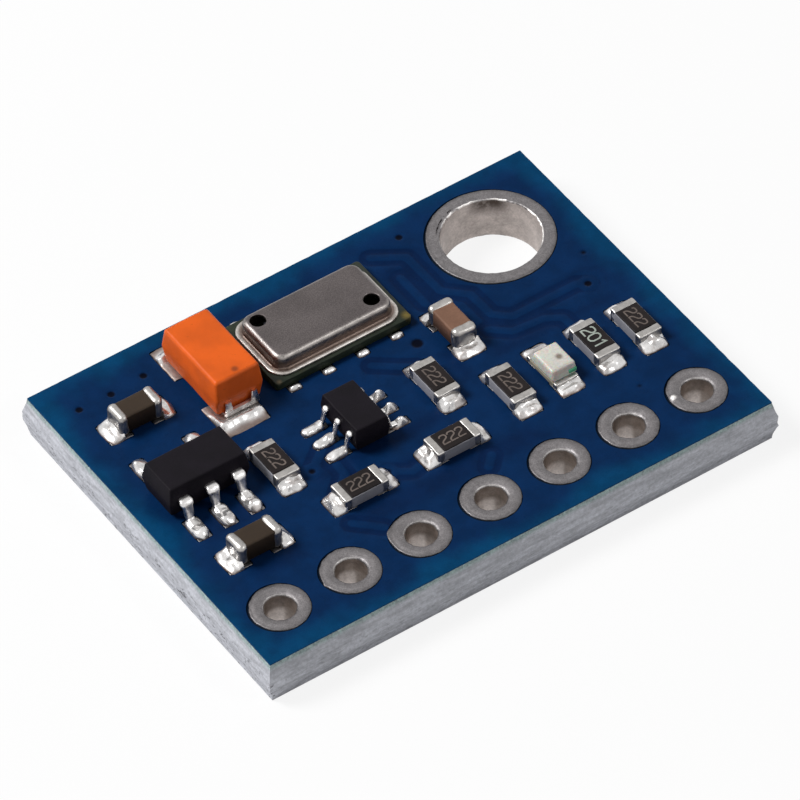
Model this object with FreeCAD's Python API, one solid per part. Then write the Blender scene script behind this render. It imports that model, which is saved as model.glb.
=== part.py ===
import FreeCAD, Part
import math
import os

# A pressure sensor module: a small circuit board that carries a metal-lidded pressure sensor,
# a voltage regulator, a level shifter and their chip parts.
# Frame: millimetres, +X along the header row, +Y towards the mounting hole, +Z up from the board.
# The origin is the middle of the board's underside.

# Two points or levels closer than this are the same
touching = 0.000001

# Header row and board outline
header_count = 7
header_pitch = 2.54
header_hole_diameter = 1.0
header_pad_diameter = 1.9
header_end_margin = 1.53
header_edge_margin = 1.77
board_thickness = 1.6
score_depth = 0.6
score_flare = 0.15
parts_end_margin = 0.6

# Mounting hole
mounting_hole_diameter = 3.2
mounting_pad_diameter = 4.1
mounting_end_margin = 0.82
mounting_edge_margin = 0.53
mounting_row_distance = 9.11

# Skins of the board
mask_thickness = 0.05
mask_clearance = 0.05
copper_thickness = 0.035
plating_thickness = 0.04
drill_sides = 16

# Solder
solder_film = 0.03
solder_side_lean = 0.5
solder_shoulder = 0.35
solder_rim = 0.15
solder_sag = 0.42
solder_end_fall = 0.6
land_toe = 0.385
land_overlap = 0.45

# Chip resistor
resistor_length = 1.6
resistor_width = 0.85
resistor_height = 0.45
resistor_band = 0.28
resistor_wrap = 0.04
resistor_coat_proud = 0.02
resistor_coat_inset = 0.04
resistor_solder_height = 0.26

# Chip capacitor
capacitor_length = 1.6
capacitor_width = 0.85
capacitor_height = 0.8
capacitor_band = 0.36
capacitor_wrap = 0.04
capacitor_rounding = 0.1
capacitor_land_width = 1.02
capacitor_solder_height = 0.34

# Light
led_length = 1.6
led_width = 0.85
led_base_height = 0.22
led_band = 0.2
led_wrap = 0.03
led_lens_length = 1.2
led_lens_height = 0.38
led_lens_slope = 0.12
led_lens_side_slope = 0.03
led_chip_side = 0.28
led_chip_height = 0.1
led_solder_height = 0.2

# Tantalum capacitor
tantalum_length = 3.16
tantalum_width = 1.68
tantalum_height = 1.43
tantalum_waist = 0.75
tantalum_stand_off = 0.08
tantalum_end_slope = 0.13
tantalum_side_slope = 0.06
tantalum_strip_thickness = 0.1
tantalum_strip_width = 1.18
tantalum_strip_height = 0.64
tantalum_foot_length = 0.8
tantalum_notch_width = 0.74
tantalum_notch_depth = 0.42
tantalum_land_width = 1.6
tantalum_land_span = 4.47
tantalum_land_length = 1.5
tantalum_solder_height = 0.3

# Pressure sensor
sensor_length = 5.0
sensor_width = 3.0
sensor_substrate_thickness = 0.3
sensor_stand_off = 0.03
sensor_lid_height = 0.58
sensor_lid_wall = 0.1
sensor_lid_length = 4.32
sensor_lid_width = 2.28
sensor_lid_corner = 0.36
sensor_lid_edge = 0.13
sensor_flange_width = 0.17
sensor_flange_thickness = 0.1
sensor_port_diameter = 0.5
sensor_port_inset_x = 0.5
sensor_port_inset_y = 0.5
sensor_contact_count = 4
sensor_contact_pitch = 1.25
sensor_contact_width = 0.5
sensor_land_length = 0.75
sensor_land_toe = 0.42
sensor_solder_height = 0.14
mems_die_side = 1.3
mems_die_height = 0.32
mems_pocket_side = 0.8
mems_pocket_depth = 0.2
asic_die_length = 1.2
asic_die_width = 1.4
asic_die_height = 0.2
die_gap = 0.3

# Voltage regulator
regulator_length = 2.9
regulator_width = 1.6
regulator_height = 1.12
regulator_stand_off = 0.12
regulator_slope = 0.1
regulator_lead_pitch = 0.95
regulator_lead_width = 0.4
regulator_lead_thickness = 0.14
regulator_lead_span = 2.9
regulator_land_span = 4.1
regulator_land_width = 0.62

# Level shifter
shifter_length = 2.0
shifter_width = 1.25
shifter_height = 0.87
shifter_stand_off = 0.08
shifter_slope = 0.06
shifter_lead_pitch = 0.65
shifter_lead_width = 0.22
shifter_lead_thickness = 0.11
shifter_lead_span = 2.1
shifter_land_span = 3.1
shifter_land_width = 0.38

# Leads of both
lead_bite = 0.15
lead_foot_length = 0.4
lead_shoulder = 0.18
lead_bend = 0.07
lead_solder_height = 0.14
lead_land_inset = 0.15

# Places, measured from the middle of the header row: x, y and the turn in degrees
resistor_places = [
    (-4.64, 4.78, 90),
    (-3.10, 2.44, 0),
    (0.24, 2.40, 0),
    (1.22, 4.78, 90),
    (2.95, 3.21, 90),
    (6.10, 3.26, 90),
    (7.62, 3.21, 90),
]
capacitor_left_places = [
    (-6.95, 8.95, 0),
    (-6.95, 2.38, 0),
]
regulator_place = (-6.95, 5.56, 0)
shifter_place = (-1.68, 4.79, 90)
led_place = (4.52, 3.24, 90)
tantalum_place = (-4.10, 9.00, 90)
tantalum_land_place = (-4.31, 8.875, 90)
tantalum_to_sensor = 0.37
sensor_to_capacitor = 0.83
sensor_y = 8.93
capacitor_beside_sensor_y = 6.34

# Places and sizes that follow from the ones above
sensor_x = tantalum_place[0] + tantalum_width / 2 + tantalum_to_sensor + sensor_length / 2
sensor_place = (sensor_x, sensor_y, 0)
capacitor_3_x = sensor_x + sensor_length / 2 + sensor_to_capacitor
capacitor_places = capacitor_left_places + [(capacitor_3_x, capacitor_beside_sensor_y, 90)]

header_half_length = (header_count - 1) * header_pitch / 2
parts_half_length = regulator_length / 2 - regulator_place[0]
board_half_length = max(header_half_length + header_end_margin, parts_half_length + parts_end_margin)
mounting_x = board_half_length - mounting_end_margin - mounting_pad_diameter / 2
back_edge = mounting_row_distance + mounting_pad_diameter / 2 + mounting_edge_margin
board_length = 2 * board_half_length
board_width = header_edge_margin + back_edge
middle_y = (back_edge - header_edge_margin) / 2

laminate_bottom = mask_thickness
laminate_top = board_thickness - mask_thickness
land_top = laminate_top + copper_thickness
seat_level = land_top + solder_film


def vector(x, y, z):
    return FreeCAD.Vector(x, y, z)


def block(x_low, x_high, y_low, y_high, z_low, z_high):
    corner = vector(x_low, y_low, z_low)
    return Part.makeBox(x_high - x_low, y_high - y_low, z_high - z_low, corner)


def centred_block(length, width, z_low, z_high):
    return block(-length / 2, length / 2, -width / 2, width / 2, z_low, z_high)


def post(x, y, diameter, z_low, z_high):
    return Part.makeCylinder(diameter / 2, z_high - z_low, vector(x, y, z_low))


def rectangle_corners(length, width, z):
    x = length / 2
    y = width / 2
    return [vector(-x, -y, z), vector(x, -y, z), vector(x, y, z), vector(-x, y, z)]


def flat_face(corners):
    return Part.Face(Part.makePolygon(corners + corners[:1]))


def tapered_block(length, width, levels):
    """A block whose outline is drawn in by its own inset at each level: height, inset x, inset y."""
    outlines = []
    for height, inset_x, inset_y in levels:
        outlines.append(rectangle_corners(length - 2 * inset_x, width - 2 * inset_y, height))
    faces = [flat_face(outlines[0][::-1]), flat_face(outlines[-1])]
    for lower, upper in zip(outlines, outlines[1:]):
        for corner in range(4):
            beside = (corner + 1) % 4
            faces.append(flat_face([lower[corner], lower[beside], upper[beside], upper[corner]]))
    return Part.Solid(Part.Shell(faces))


def rounded_plate(length, width, corner, z_low, z_high):
    plate = centred_block(length, width, z_low, z_high)
    upright = [edge for edge in plate.Edges if is_upright(edge)]
    return plate.makeFillet(corner, upright)


def is_upright(edge):
    first, last = edge.Vertexes[0].Point, edge.Vertexes[-1].Point
    return abs(first.x - last.x) < touching and abs(first.y - last.y) < touching


def edges_at_height(shape, z):
    return [edge for edge in shape.Edges if all(abs(v.Point.z - z) < touching for v in edge.Vertexes)]


def mitred_side(line, offset):
    """The points that run beside a middle line, as far to its left as the offset says."""
    side = []
    for index, point in enumerate(line):
        before = line[max(index - 1, 0)]
        after = line[min(index + 1, len(line) - 1)]
        normals = []
        for first, last in ((before, point), (point, after)):
            run = last - first
            if run.Length > 0:
                normals.append(vector(-run.z, 0, run.x).normalize())
        mitre = (normals[0] + normals[-1]).normalize()
        side.append(point + mitre * (offset / mitre.dot(normals[0])))
    return side


def broken_corners(points, setback):
    """The same line with a short flat instead of each inner corner."""
    line = [points[0]]
    for before, corner, after in zip(points, points[1:], points[2:]):
        line.append(corner + (before - corner).normalize() * setback)
        line.append(corner + (after - corner).normalize() * setback)
    return line + [points[-1]]


def bent_strip(corners, setback, thickness, width):
    """A flat metal strip bent along the corners of its middle line, which lies in x and z."""
    line = broken_corners([vector(x, 0, z) for x, z in corners], setback)
    outline = mitred_side(line, thickness / 2) + mitred_side(line, -thickness / 2)[::-1]
    section = flat_face(outline)
    section.translate(vector(0, -width / 2, 0))
    return section.extrude(vector(0, width, 0))


def stand(shape, place, level=board_thickness):
    """Sets a part that is drawn about its own middle on its place on the board."""
    x, y, turn = place
    placed = shape.copy()
    placed.rotate(vector(0, 0, 0), vector(0, 0, 1), turn)
    placed.translate(vector(x, y - middle_y, level))
    return placed


def turned(shape, degrees):
    copy = shape.copy()
    copy.rotate(vector(0, 0, 0), vector(0, 0, 1), degrees)
    return copy


def moved(shape, x, y, z):
    copy = shape.copy()
    copy.translate(vector(x, y, z))
    return copy


# Solder shapes, drawn with the land's top at height 0 and the joint running out along +X

def sloped_bar(x_low, x_high, width, height):
    """A bar along x whose sides are upright at the foot and lean in above it."""
    half = width / 2
    lean = height * solder_side_lean
    shoulder = height * solder_shoulder
    outline = [
        vector(x_low, -half, 0),
        vector(x_low, half, 0),
        vector(x_low, half, shoulder),
        vector(x_low, half - lean, height),
        vector(x_low, lean - half, height),
        vector(x_low, -half, shoulder),
    ]
    return flat_face(outline).extrude(vector(x_high - x_low, 0, 0))


def solder_slope(reach, width, height):
    """Solder that climbs an upright metal face at x = 0 and runs hollow down to its land's end."""
    half = width / 2
    outline = [
        vector(0, -half, 0),
        vector(0, -half, height),
        vector(reach * solder_sag, -half, height * solder_sag),
        vector(reach, -half, height * solder_rim),
        vector(reach, -half, 0),
    ]
    slope = flat_face(outline).extrude(vector(0, width, 0))
    return slope.common(sloped_bar(0, reach, width, height))


def solder_bar(x_low, x_high, width, height):
    """Solder that lies along a land, drawn in at its sides and falling away at its outer end."""
    bar = sloped_bar(x_low, x_high, width, height)
    outer = [e for e in bar.Edges if all(v.Point.x > x_high - touching and v.Point.z > height - touching
                                         for v in e.Vertexes)]
    return bar.makeChamfer(height * solder_end_fall, outer)


# Chip parts, drawn about their own middle, their terminals' underside at height 0

def wrapped_end(length, width, height, band, wrap):
    """A metal end that wraps over the top, end and underside of a chip, at its +X end."""
    outer = block(length / 2 - band, length / 2, -width / 2, width / 2, 0, height)
    edges = [e for e in outer.Edges if all(v.Point.x > length / 2 - touching for v in e.Vertexes)
             and not is_upright(e)]
    outer = outer.makeChamfer(wrap / 2, edges)
    core = block(0, length / 2 - wrap, -width / 2, width / 2, wrap, height - wrap)
    return outer.cut(core)


def both_ends(shape):
    return [shape, turned(shape, 180)]


def chip_lands(length, width):
    outer = length / 2 + land_toe
    inner = length / 2 - land_overlap
    land = block(inner, outer, -width / 2, width / 2, laminate_top, land_top)
    return both_ends(land)


def chip_solder(length, width, band, height):
    """The solder under one end of a chip and up its end face, for both ends."""
    film = block(length / 2 - band, length / 2, -width / 2, width / 2, 0, solder_film)
    slope = solder_slope(land_toe, width, height)
    slope.translate(vector(length / 2, 0, 0))
    joint = film.fuse(slope).removeSplitter()
    return both_ends(joint)


def resistor_substrate():
    length = resistor_length - 2 * resistor_wrap
    return centred_block(length, resistor_width, resistor_wrap, resistor_height - resistor_wrap)


def resistor_coat():
    length = resistor_length - 2 * resistor_band
    width = resistor_width - 2 * resistor_coat_inset
    low = resistor_height - resistor_wrap
    high = resistor_height + resistor_coat_proud
    coat = centred_block(length, width, low, high)
    return coat.makeChamfer(resistor_coat_proud, edges_at_height(coat, high))


def resistor_ends():
    return both_ends(wrapped_end(resistor_length, resistor_width, resistor_height,
                                 resistor_band, resistor_wrap))


def capacitor_ceramic():
    wrap = capacitor_wrap
    length = capacitor_length - 2 * wrap
    width = capacitor_width - 2 * wrap
    core = centred_block(length, width, wrap, capacitor_height - wrap)
    return core.makeChamfer(capacitor_rounding - wrap, core.Edges)


def capacitor_ends(ceramic):
    """Two metal caps with broken edges that close over the ends of the ceramic block."""
    shell = centred_block(capacitor_length, capacitor_width, 0, capacitor_height)
    shell = shell.makeChamfer(capacitor_rounding, shell.Edges)
    reach = capacitor_length / 2
    keep = block(reach - capacitor_band, reach, -capacitor_width, capacitor_width, 0, capacitor_height)
    return both_ends(shell.common(keep).cut(ceramic))


def led_base():
    return centred_block(led_length - 2 * led_wrap, led_width, led_wrap, led_base_height - led_wrap)


def led_ends():
    return both_ends(wrapped_end(led_length, led_width, led_base_height, led_band, led_wrap))


def led_chip():
    low = led_base_height - led_wrap
    return centred_block(led_chip_side, led_chip_side, low, low + led_chip_height)


def led_lens():
    """The clear block over the light, sloped at both ends and closed round the chip."""
    low = led_base_height - led_wrap
    levels = [(low, 0, 0), (low + led_lens_height, led_lens_slope, led_lens_side_slope)]
    return tapered_block(led_lens_length, led_width, levels).cut(led_chip())


# Tantalum capacitor, drawn with its length along x

def tantalum_terminal():
    """The strip under one end of the case, turned up the end and forked at its top."""
    half = tantalum_strip_thickness / 2
    face = tantalum_length / 2
    corners = [
        (face - tantalum_foot_length, half),
        (face - half, half),
        (face - half, tantalum_strip_height),
    ]
    strip = bent_strip(corners, half, tantalum_strip_thickness, tantalum_strip_width)
    radius = tantalum_notch_width / 2
    floor = tantalum_strip_height - tantalum_notch_depth
    inner = face - 2 * tantalum_strip_thickness
    notch = block(inner, face, -radius, radius, floor + radius, tantalum_strip_height)
    rounding = Part.makeCylinder(radius, face - inner, vector(inner, 0, floor + radius), vector(1, 0, 0))
    return strip.cut(notch.fuse(rounding))


def tantalum_case(terminals):
    top = tantalum_stand_off + tantalum_height - solder_film
    levels = [
        (tantalum_stand_off, tantalum_end_slope, tantalum_side_slope),
        (tantalum_waist, 0, 0),
        (top, tantalum_end_slope, tantalum_side_slope),
    ]
    case = tapered_block(tantalum_length, tantalum_width, levels)
    return case.cut(terminals)


def tantalum_solder(case, terminals):
    """Solder round each foot, heaped against the upturned strip."""
    outer = tantalum_land_span / 2
    inner = outer - tantalum_land_length
    bar = solder_bar(inner, outer, tantalum_land_width, tantalum_solder_height)
    joints = [stand(joint, tantalum_land_place, land_top) for joint in both_ends(bar)]
    return [joint.cut([case] + terminals) for joint in joints]


def tantalum_lands():
    outer = tantalum_land_span / 2
    half = tantalum_land_width / 2
    land = block(outer - tantalum_land_length, outer, -half, half, laminate_top, land_top)
    return both_ends(land)


# Small outline packages, drawn with their length along x and their leads along y

def moulded_body(length, width, height, stand_off, slope):
    levels = [
        (stand_off, slope, slope),
        (stand_off + height / 2, 0, 0),
        (stand_off + height, slope, slope),
    ]
    return tapered_block(length, width, levels)


def gull_wing(body_width, middle_height, span, thickness, width):
    """A lead that leaves the body at half height and bends down to a foot, pointing along x."""
    foot_end = span / 2
    shoulder = body_width / 2 + lead_shoulder
    corners = [
        (body_width / 2 - lead_bite, middle_height),
        (shoulder, middle_height),
        (max(foot_end - lead_foot_length, shoulder + thickness), thickness / 2),
        (foot_end, thickness / 2),
    ]
    return bent_strip(corners, lead_bend, thickness, width)


def lead_row(lead, positions, pitch, turn):
    """Copies of a lead along x at the given steps of the pitch, pointing towards the turn."""
    facing = turned(lead, turn)
    return [moved(facing, step * pitch, 0, 0) for step in positions]


def lead_land(land_span, foot_span, width):
    inner = foot_span / 2 - lead_foot_length - lead_land_inset
    return block(inner, land_span / 2, -width / 2, width / 2, laminate_top, land_top)


def lead_solder(land_span, foot_span, width):
    inner = foot_span / 2 - lead_foot_length - lead_land_inset
    return solder_bar(inner, land_span / 2, width, lead_solder_height)


def regulator_rows(shape):
    """Three copies on the front side and two on the back side."""
    pitch = regulator_lead_pitch
    return lead_row(shape, (-1, 0, 1), pitch, -90) + lead_row(shape, (-1, 1), pitch, 90)


def shifter_rows(shape):
    pitch = shifter_lead_pitch
    return lead_row(shape, (-1, 0, 1), pitch, -90) + lead_row(shape, (-1, 0, 1), pitch, 90)


def regulator_leads():
    middle = regulator_stand_off + regulator_height / 2
    lead = gull_wing(regulator_width, middle, regulator_lead_span,
                     regulator_lead_thickness, regulator_lead_width)
    return regulator_rows(lead)


def shifter_leads():
    middle = shifter_stand_off + shifter_height / 2
    lead = gull_wing(shifter_width, middle, shifter_lead_span,
                     shifter_lead_thickness, shifter_lead_width)
    return shifter_rows(lead)


# Pressure sensor, drawn with its underside at height 0

def sensor_substrate():
    return centred_block(sensor_length, sensor_width, 0, sensor_substrate_thickness)


def sensor_lid():
    """A drawn metal lid with a flange round its foot and two small ports in its top."""
    foot = sensor_substrate_thickness
    top = foot + sensor_lid_height
    wall = sensor_lid_wall
    flange_length = sensor_lid_length + 2 * sensor_flange_width
    flange_width = sensor_lid_width + 2 * sensor_flange_width
    flange_corner = sensor_lid_corner + sensor_flange_width
    flange = rounded_plate(flange_length, flange_width, flange_corner,
                           foot, foot + sensor_flange_thickness)
    cap = rounded_plate(sensor_lid_length, sensor_lid_width, sensor_lid_corner, foot, top)
    cap = cap.makeFillet(sensor_lid_edge, edges_at_height(cap, top))
    inner_length = sensor_lid_length - 2 * wall
    inner_width = sensor_lid_width - 2 * wall
    hollow = rounded_plate(inner_length, inner_width, sensor_lid_corner - wall, foot, top - wall)
    lid = flange.fuse(cap).cut(hollow)
    port_x = sensor_lid_length / 2 - sensor_port_inset_x
    port_y = sensor_lid_width / 2 - sensor_port_inset_y
    ports = [
        post(-port_x, port_y, sensor_port_diameter, foot, top),
        post(port_x, -port_y, sensor_port_diameter, foot, top),
    ]
    return lid.cut(ports)


def mems_die():
    """The sensing die, with the pocket that leaves its thin membrane."""
    low = sensor_substrate_thickness
    high = low + mems_die_height
    die = centred_block(mems_die_side, mems_die_side, low, high)
    pocket = centred_block(mems_pocket_side, mems_pocket_side, low, low + mems_pocket_depth)
    return moved(die.cut(pocket), -(mems_die_side + die_gap) / 2, 0, 0)


def asic_die():
    low = sensor_substrate_thickness
    die = centred_block(asic_die_length, asic_die_width, low, low + asic_die_height)
    return moved(die, (asic_die_length + die_gap) / 2, 0, 0)


def sensor_contact_rows(shape):
    """Copies of a contact that points along x, set along both long sides of the sensor."""
    first = -(sensor_contact_count - 1) / 2
    steps = [first + index for index in range(sensor_contact_count)]
    pitch = sensor_contact_pitch
    return lead_row(shape, steps, pitch, -90) + lead_row(shape, steps, pitch, 90)


def sensor_land():
    outer = sensor_width / 2 + sensor_land_toe
    half = sensor_contact_width / 2
    return block(outer - sensor_land_length, outer, -half, half, laminate_top, land_top)


def sensor_solder():
    edge = sensor_width / 2
    width = sensor_contact_width
    inner = edge + sensor_land_toe - sensor_land_length
    film = block(inner, edge, -width / 2, width / 2, 0, solder_film)
    slope = moved(solder_slope(sensor_land_toe, width, sensor_solder_height), edge, 0, 0)
    return film.fuse(slope).removeSplitter()


# Board

def plated_hole(x, y, hole_diameter, pad_diameter):
    """A plated barrel with a flat ring on both faces of the board."""
    outer = hole_diameter + 2 * plating_thickness
    lower_ring = post(x, y, pad_diameter, 0, laminate_bottom)
    upper_ring = post(x, y, pad_diameter, laminate_top, board_thickness)
    barrel = post(x, y, outer, laminate_bottom, laminate_top).fuse([lower_ring, upper_ring])
    return barrel.cut(post(x, y, hole_diameter, 0, board_thickness))


def drilled_hole(x, y, hole_diameter):
    """The hole in the laminate round a barrel, drawn with flat sides that the barrel touches."""
    reach = (hole_diameter / 2 + plating_thickness) / math.cos(math.pi / drill_sides)
    corners = []
    for index in range(drill_sides):
        angle = 2 * math.pi * index / drill_sides
        corners.append(vector(x + reach * math.cos(angle), y + reach * math.sin(angle), laminate_bottom))
    return flat_face(corners).extrude(vector(0, 0, laminate_top - laminate_bottom))


def all_plated_holes():
    """Every plated hole with rings: x, y, hole diameter, ring diameter."""
    holes = []
    for index in range(header_count):
        x = index * header_pitch - header_half_length
        holes.append((x, -middle_y, header_hole_diameter, header_pad_diameter))
    mounting_y = mounting_row_distance - middle_y
    holes.append((mounting_x, mounting_y, mounting_hole_diameter, mounting_pad_diameter))
    return holes


def component_lands():
    lands = []
    for place in resistor_places:
        lands += [stand(land, place, 0) for land in chip_lands(resistor_length, resistor_width)]
    for place in capacitor_places:
        lands += [stand(land, place, 0) for land in chip_lands(capacitor_length, capacitor_land_width)]
    lands += [stand(land, led_place, 0) for land in chip_lands(led_length, led_width)]
    lands += [stand(land, tantalum_land_place, 0) for land in tantalum_lands()]
    lands += [stand(land, sensor_place, 0) for land in sensor_contact_rows(sensor_land())]
    regulator_land = lead_land(regulator_land_span, regulator_lead_span, regulator_land_width)
    lands += [stand(land, regulator_place, 0) for land in regulator_rows(regulator_land)]
    shifter_land = lead_land(shifter_land_span, shifter_lead_span, shifter_land_width)
    lands += [stand(land, shifter_place, 0) for land in shifter_rows(shifter_land)]
    return lands


def board_laminate():
    """The board's core, with the slanted, broken-out edge that V-scoring leaves on each side."""
    levels = [
        (laminate_bottom, 0, 0),
        (score_depth, -score_flare, -score_flare),
        (board_thickness - score_depth, -score_flare, -score_flare),
        (laminate_top, 0, 0),
    ]
    core = tapered_block(board_length, board_width, levels)
    holes = [drilled_hole(x, y, diameter) for x, y, diameter, pad_diameter in all_plated_holes()]
    return core.cut(holes)


def mask_film(z_low, z_high, lands):
    """A film of solder mask, open round every pad."""
    film = centred_block(board_length, board_width, z_low, z_high)
    openings = []
    for x, y, hole_diameter, pad_diameter in all_plated_holes():
        openings.append(post(x, y, pad_diameter + 2 * mask_clearance, z_low, z_high))
    for land in lands:
        area = land.BoundBox
        grow = mask_clearance
        openings.append(block(area.XMin - grow, area.XMax + grow,
                              area.YMin - grow, area.YMax + grow, z_low, z_high))
    return film.cut(openings)


def write(node, solids):
    shape = solids[0] if len(solids) == 1 else Part.makeCompound(solids)
    shape.exportStep("parts/" + node + ".step")


def write_board():
    lands = component_lands()
    write("board_laminate", [board_laminate()])
    write("solder_mask_top", [mask_film(laminate_top, board_thickness, lands)])
    write("solder_mask_bottom", [mask_film(0, laminate_bottom, [])])
    write("component_lands", lands)
    *header, mounting = all_plated_holes()
    for number, hole in enumerate(header, start=1):
        write("header_pad_" + str(number), [plated_hole(*hole)])
    write("mounting_ring", [plated_hole(*mounting)])


def write_resistors():
    ends = []
    solder = []
    for number, place in enumerate(resistor_places, start=1):
        name = "resistor_" + str(number)
        write(name + "_substrate", [stand(resistor_substrate(), place, seat_level)])
        write(name + "_coat", [stand(resistor_coat(), place, seat_level)])
        ends += [stand(end, place, seat_level) for end in resistor_ends()]
        joints = chip_solder(resistor_length, resistor_width, resistor_band, resistor_solder_height)
        solder += [stand(joint, place, land_top) for joint in joints]
    write("resistor_ends", ends)
    write("resistor_solder", solder)


def write_capacitors():
    solder = []
    for number, place in enumerate(capacitor_places, start=1):
        name = "capacitor_" + str(number)
        ceramic = capacitor_ceramic()
        ends = [stand(end, place, seat_level) for end in capacitor_ends(ceramic)]
        write(name + "_ceramic", [stand(ceramic, place, seat_level)])
        write(name + "_ends", ends)
        joints = chip_solder(capacitor_length, capacitor_land_width,
                             capacitor_band, capacitor_solder_height)
        solder += [stand(joint, place, land_top).cut(ends) for joint in joints]
    write("capacitor_solder", solder)


def write_led():
    write("led_base", [stand(led_base(), led_place, seat_level)])
    write("led_ends", [stand(end, led_place, seat_level) for end in led_ends()])
    write("led_chip", [stand(led_chip(), led_place, seat_level)])
    write("led_lens", [stand(led_lens(), led_place, seat_level)])
    joints = chip_solder(led_length, led_width, led_band, led_solder_height)
    write("led_solder", [stand(joint, led_place, land_top) for joint in joints])


def write_tantalum():
    drawn = both_ends(tantalum_terminal())
    case = stand(tantalum_case(drawn), tantalum_place, seat_level)
    terminals = [stand(terminal, tantalum_place, seat_level) for terminal in drawn]
    write("tantalum_case", [case])
    write("tantalum_anode_terminal", terminals[:1])
    write("tantalum_cathode_terminal", terminals[1:])
    write("tantalum_solder", tantalum_solder(case, terminals))


def write_sensor():
    level = land_top + sensor_stand_off
    write("sensor_substrate", [stand(sensor_substrate(), sensor_place, level)])
    write("sensor_lid", [stand(sensor_lid(), sensor_place, level)])
    write("sensor_mems_die", [stand(mems_die(), sensor_place, level)])
    write("sensor_asic_die", [stand(asic_die(), sensor_place, level)])
    joints = [stand(joint, sensor_place, land_top) for joint in sensor_contact_rows(sensor_solder())]
    write("sensor_solder", joints)


def write_package(name, place, body, leads, joints):
    placed_leads = [stand(lead, place, seat_level) for lead in leads]
    placed_body = stand(body, place, seat_level)
    solder = [stand(joint, place, land_top).cut(placed_leads + [placed_body]) for joint in joints]
    write(name + "_body", [placed_body.cut(placed_leads)])
    write(name + "_leads", placed_leads)
    write(name + "_solder", solder)


def write_packages():
    body = moulded_body(regulator_length, regulator_width, regulator_height,
                        regulator_stand_off, regulator_slope)
    joint = lead_solder(regulator_land_span, regulator_lead_span, regulator_land_width)
    write_package("regulator", regulator_place, body, regulator_leads(), regulator_rows(joint))
    body = moulded_body(shifter_length, shifter_width, shifter_height,
                        shifter_stand_off, shifter_slope)
    joint = lead_solder(shifter_land_span, shifter_lead_span, shifter_land_width)
    write_package("level_shifter", shifter_place, body, shifter_leads(), shifter_rows(joint))


os.makedirs("parts", exist_ok=True)
write_board()
write_resistors()
write_capacitors()
write_led()
write_tantalum()
write_sensor()
write_packages()
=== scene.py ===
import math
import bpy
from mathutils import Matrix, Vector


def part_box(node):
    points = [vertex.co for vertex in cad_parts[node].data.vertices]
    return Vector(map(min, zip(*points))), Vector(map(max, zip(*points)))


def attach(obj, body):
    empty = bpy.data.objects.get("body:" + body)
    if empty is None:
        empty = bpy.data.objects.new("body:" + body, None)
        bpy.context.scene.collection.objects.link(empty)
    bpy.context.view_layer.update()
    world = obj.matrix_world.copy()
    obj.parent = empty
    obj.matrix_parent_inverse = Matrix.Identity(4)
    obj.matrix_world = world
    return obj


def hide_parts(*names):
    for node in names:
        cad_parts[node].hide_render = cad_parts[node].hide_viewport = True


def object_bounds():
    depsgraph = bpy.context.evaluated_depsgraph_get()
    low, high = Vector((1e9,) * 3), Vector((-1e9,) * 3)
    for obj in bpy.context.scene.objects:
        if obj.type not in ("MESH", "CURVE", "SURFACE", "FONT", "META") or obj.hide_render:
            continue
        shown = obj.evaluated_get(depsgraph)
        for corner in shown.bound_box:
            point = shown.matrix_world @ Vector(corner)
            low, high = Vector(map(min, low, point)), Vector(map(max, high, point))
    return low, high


bl_info = {
    "name": "Pressure sensor module",
    "version": (1, 0, 0),
    "blender": (4, 5, 0),
    "location": "3D View > Sidebar > Module",
    "description": "Dresses a small pressure sensor board with parts, solder joints and finishes",
    "category": "Add Mesh",
}

import bmesh
import bpy
import numpy as np
from mathutils import Matrix, Vector, noise
from mathutils.geometry import delaunay_2d_cdt

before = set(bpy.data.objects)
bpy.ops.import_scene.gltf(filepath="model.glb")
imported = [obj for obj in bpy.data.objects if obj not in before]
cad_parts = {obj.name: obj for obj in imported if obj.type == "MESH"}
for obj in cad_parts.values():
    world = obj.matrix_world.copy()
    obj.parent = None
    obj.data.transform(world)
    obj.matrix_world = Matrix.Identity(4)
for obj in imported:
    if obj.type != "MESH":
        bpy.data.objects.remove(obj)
cad_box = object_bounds()

# Shapes are drawn in millimetres and become metres when a mesh is made
MM = 0.001

# Without a seed of its own the vector noise would change from run to run
noise.seed_set(1)


def span(node):
    """A CAD node's lowest and highest corner in millimetres."""
    low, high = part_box(node)
    return np.array(low) / MM, np.array(high) / MM


def place_of(node):
    """Where a part stands: its middle, and a quarter turn if its length runs along y."""
    low, high = span(node)
    turn = 90 if high[1] - low[1] > high[0] - low[0] else 0
    return (low[0] + high[0]) / 2, (low[1] + high[1]) / 2, turn


board_low, board_high = span("solder_mask_top")
board_top = board_high[2]
mask_foot = board_low[2]
land_top = span("component_lands")[1][2]
seat = span("led_ends")[0][2]
resistor_nodes = ["resistor_%d" % number for number in range(1, 8)]
capacitor_nodes = ["capacitor_%d" % number for number in range(1, 4)]
header_nodes = ["header_pad_%d" % number for number in range(1, 8)]

# Standard sizes of the parts, in millimetres
chip_half_length, chip_half_width = 0.8, 0.425
header_bore, mounting_bore, plating = 0.5, 1.6, 0.04
contact_steps, contact_pitch = (-1.5, -0.5, 0.5, 1.5), 1.25
three_leads, two_leads = (-1, 0, 1), (-1, 1)
regulator_pitch, shifter_pitch = 0.95, 0.65
tantalum_land_place = (-4.31, 3.915, 90)


# Sizes and colours that a user may change

def length(name, description, default):
    return bpy.props.FloatProperty(name=name, description=description, default=default * MM,
                                   min=0, precision=5, subtype="DISTANCE", unit="LENGTH")


def colour(name, description, default):
    return bpy.props.FloatVectorProperty(name=name, description=description, default=default,
                                         min=0, max=1, size=3, subtype="COLOR")


def factor(name, description, default):
    return bpy.props.FloatProperty(name=name, description=description, default=default,
                                   min=0, max=1, subtype="FACTOR")


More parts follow.
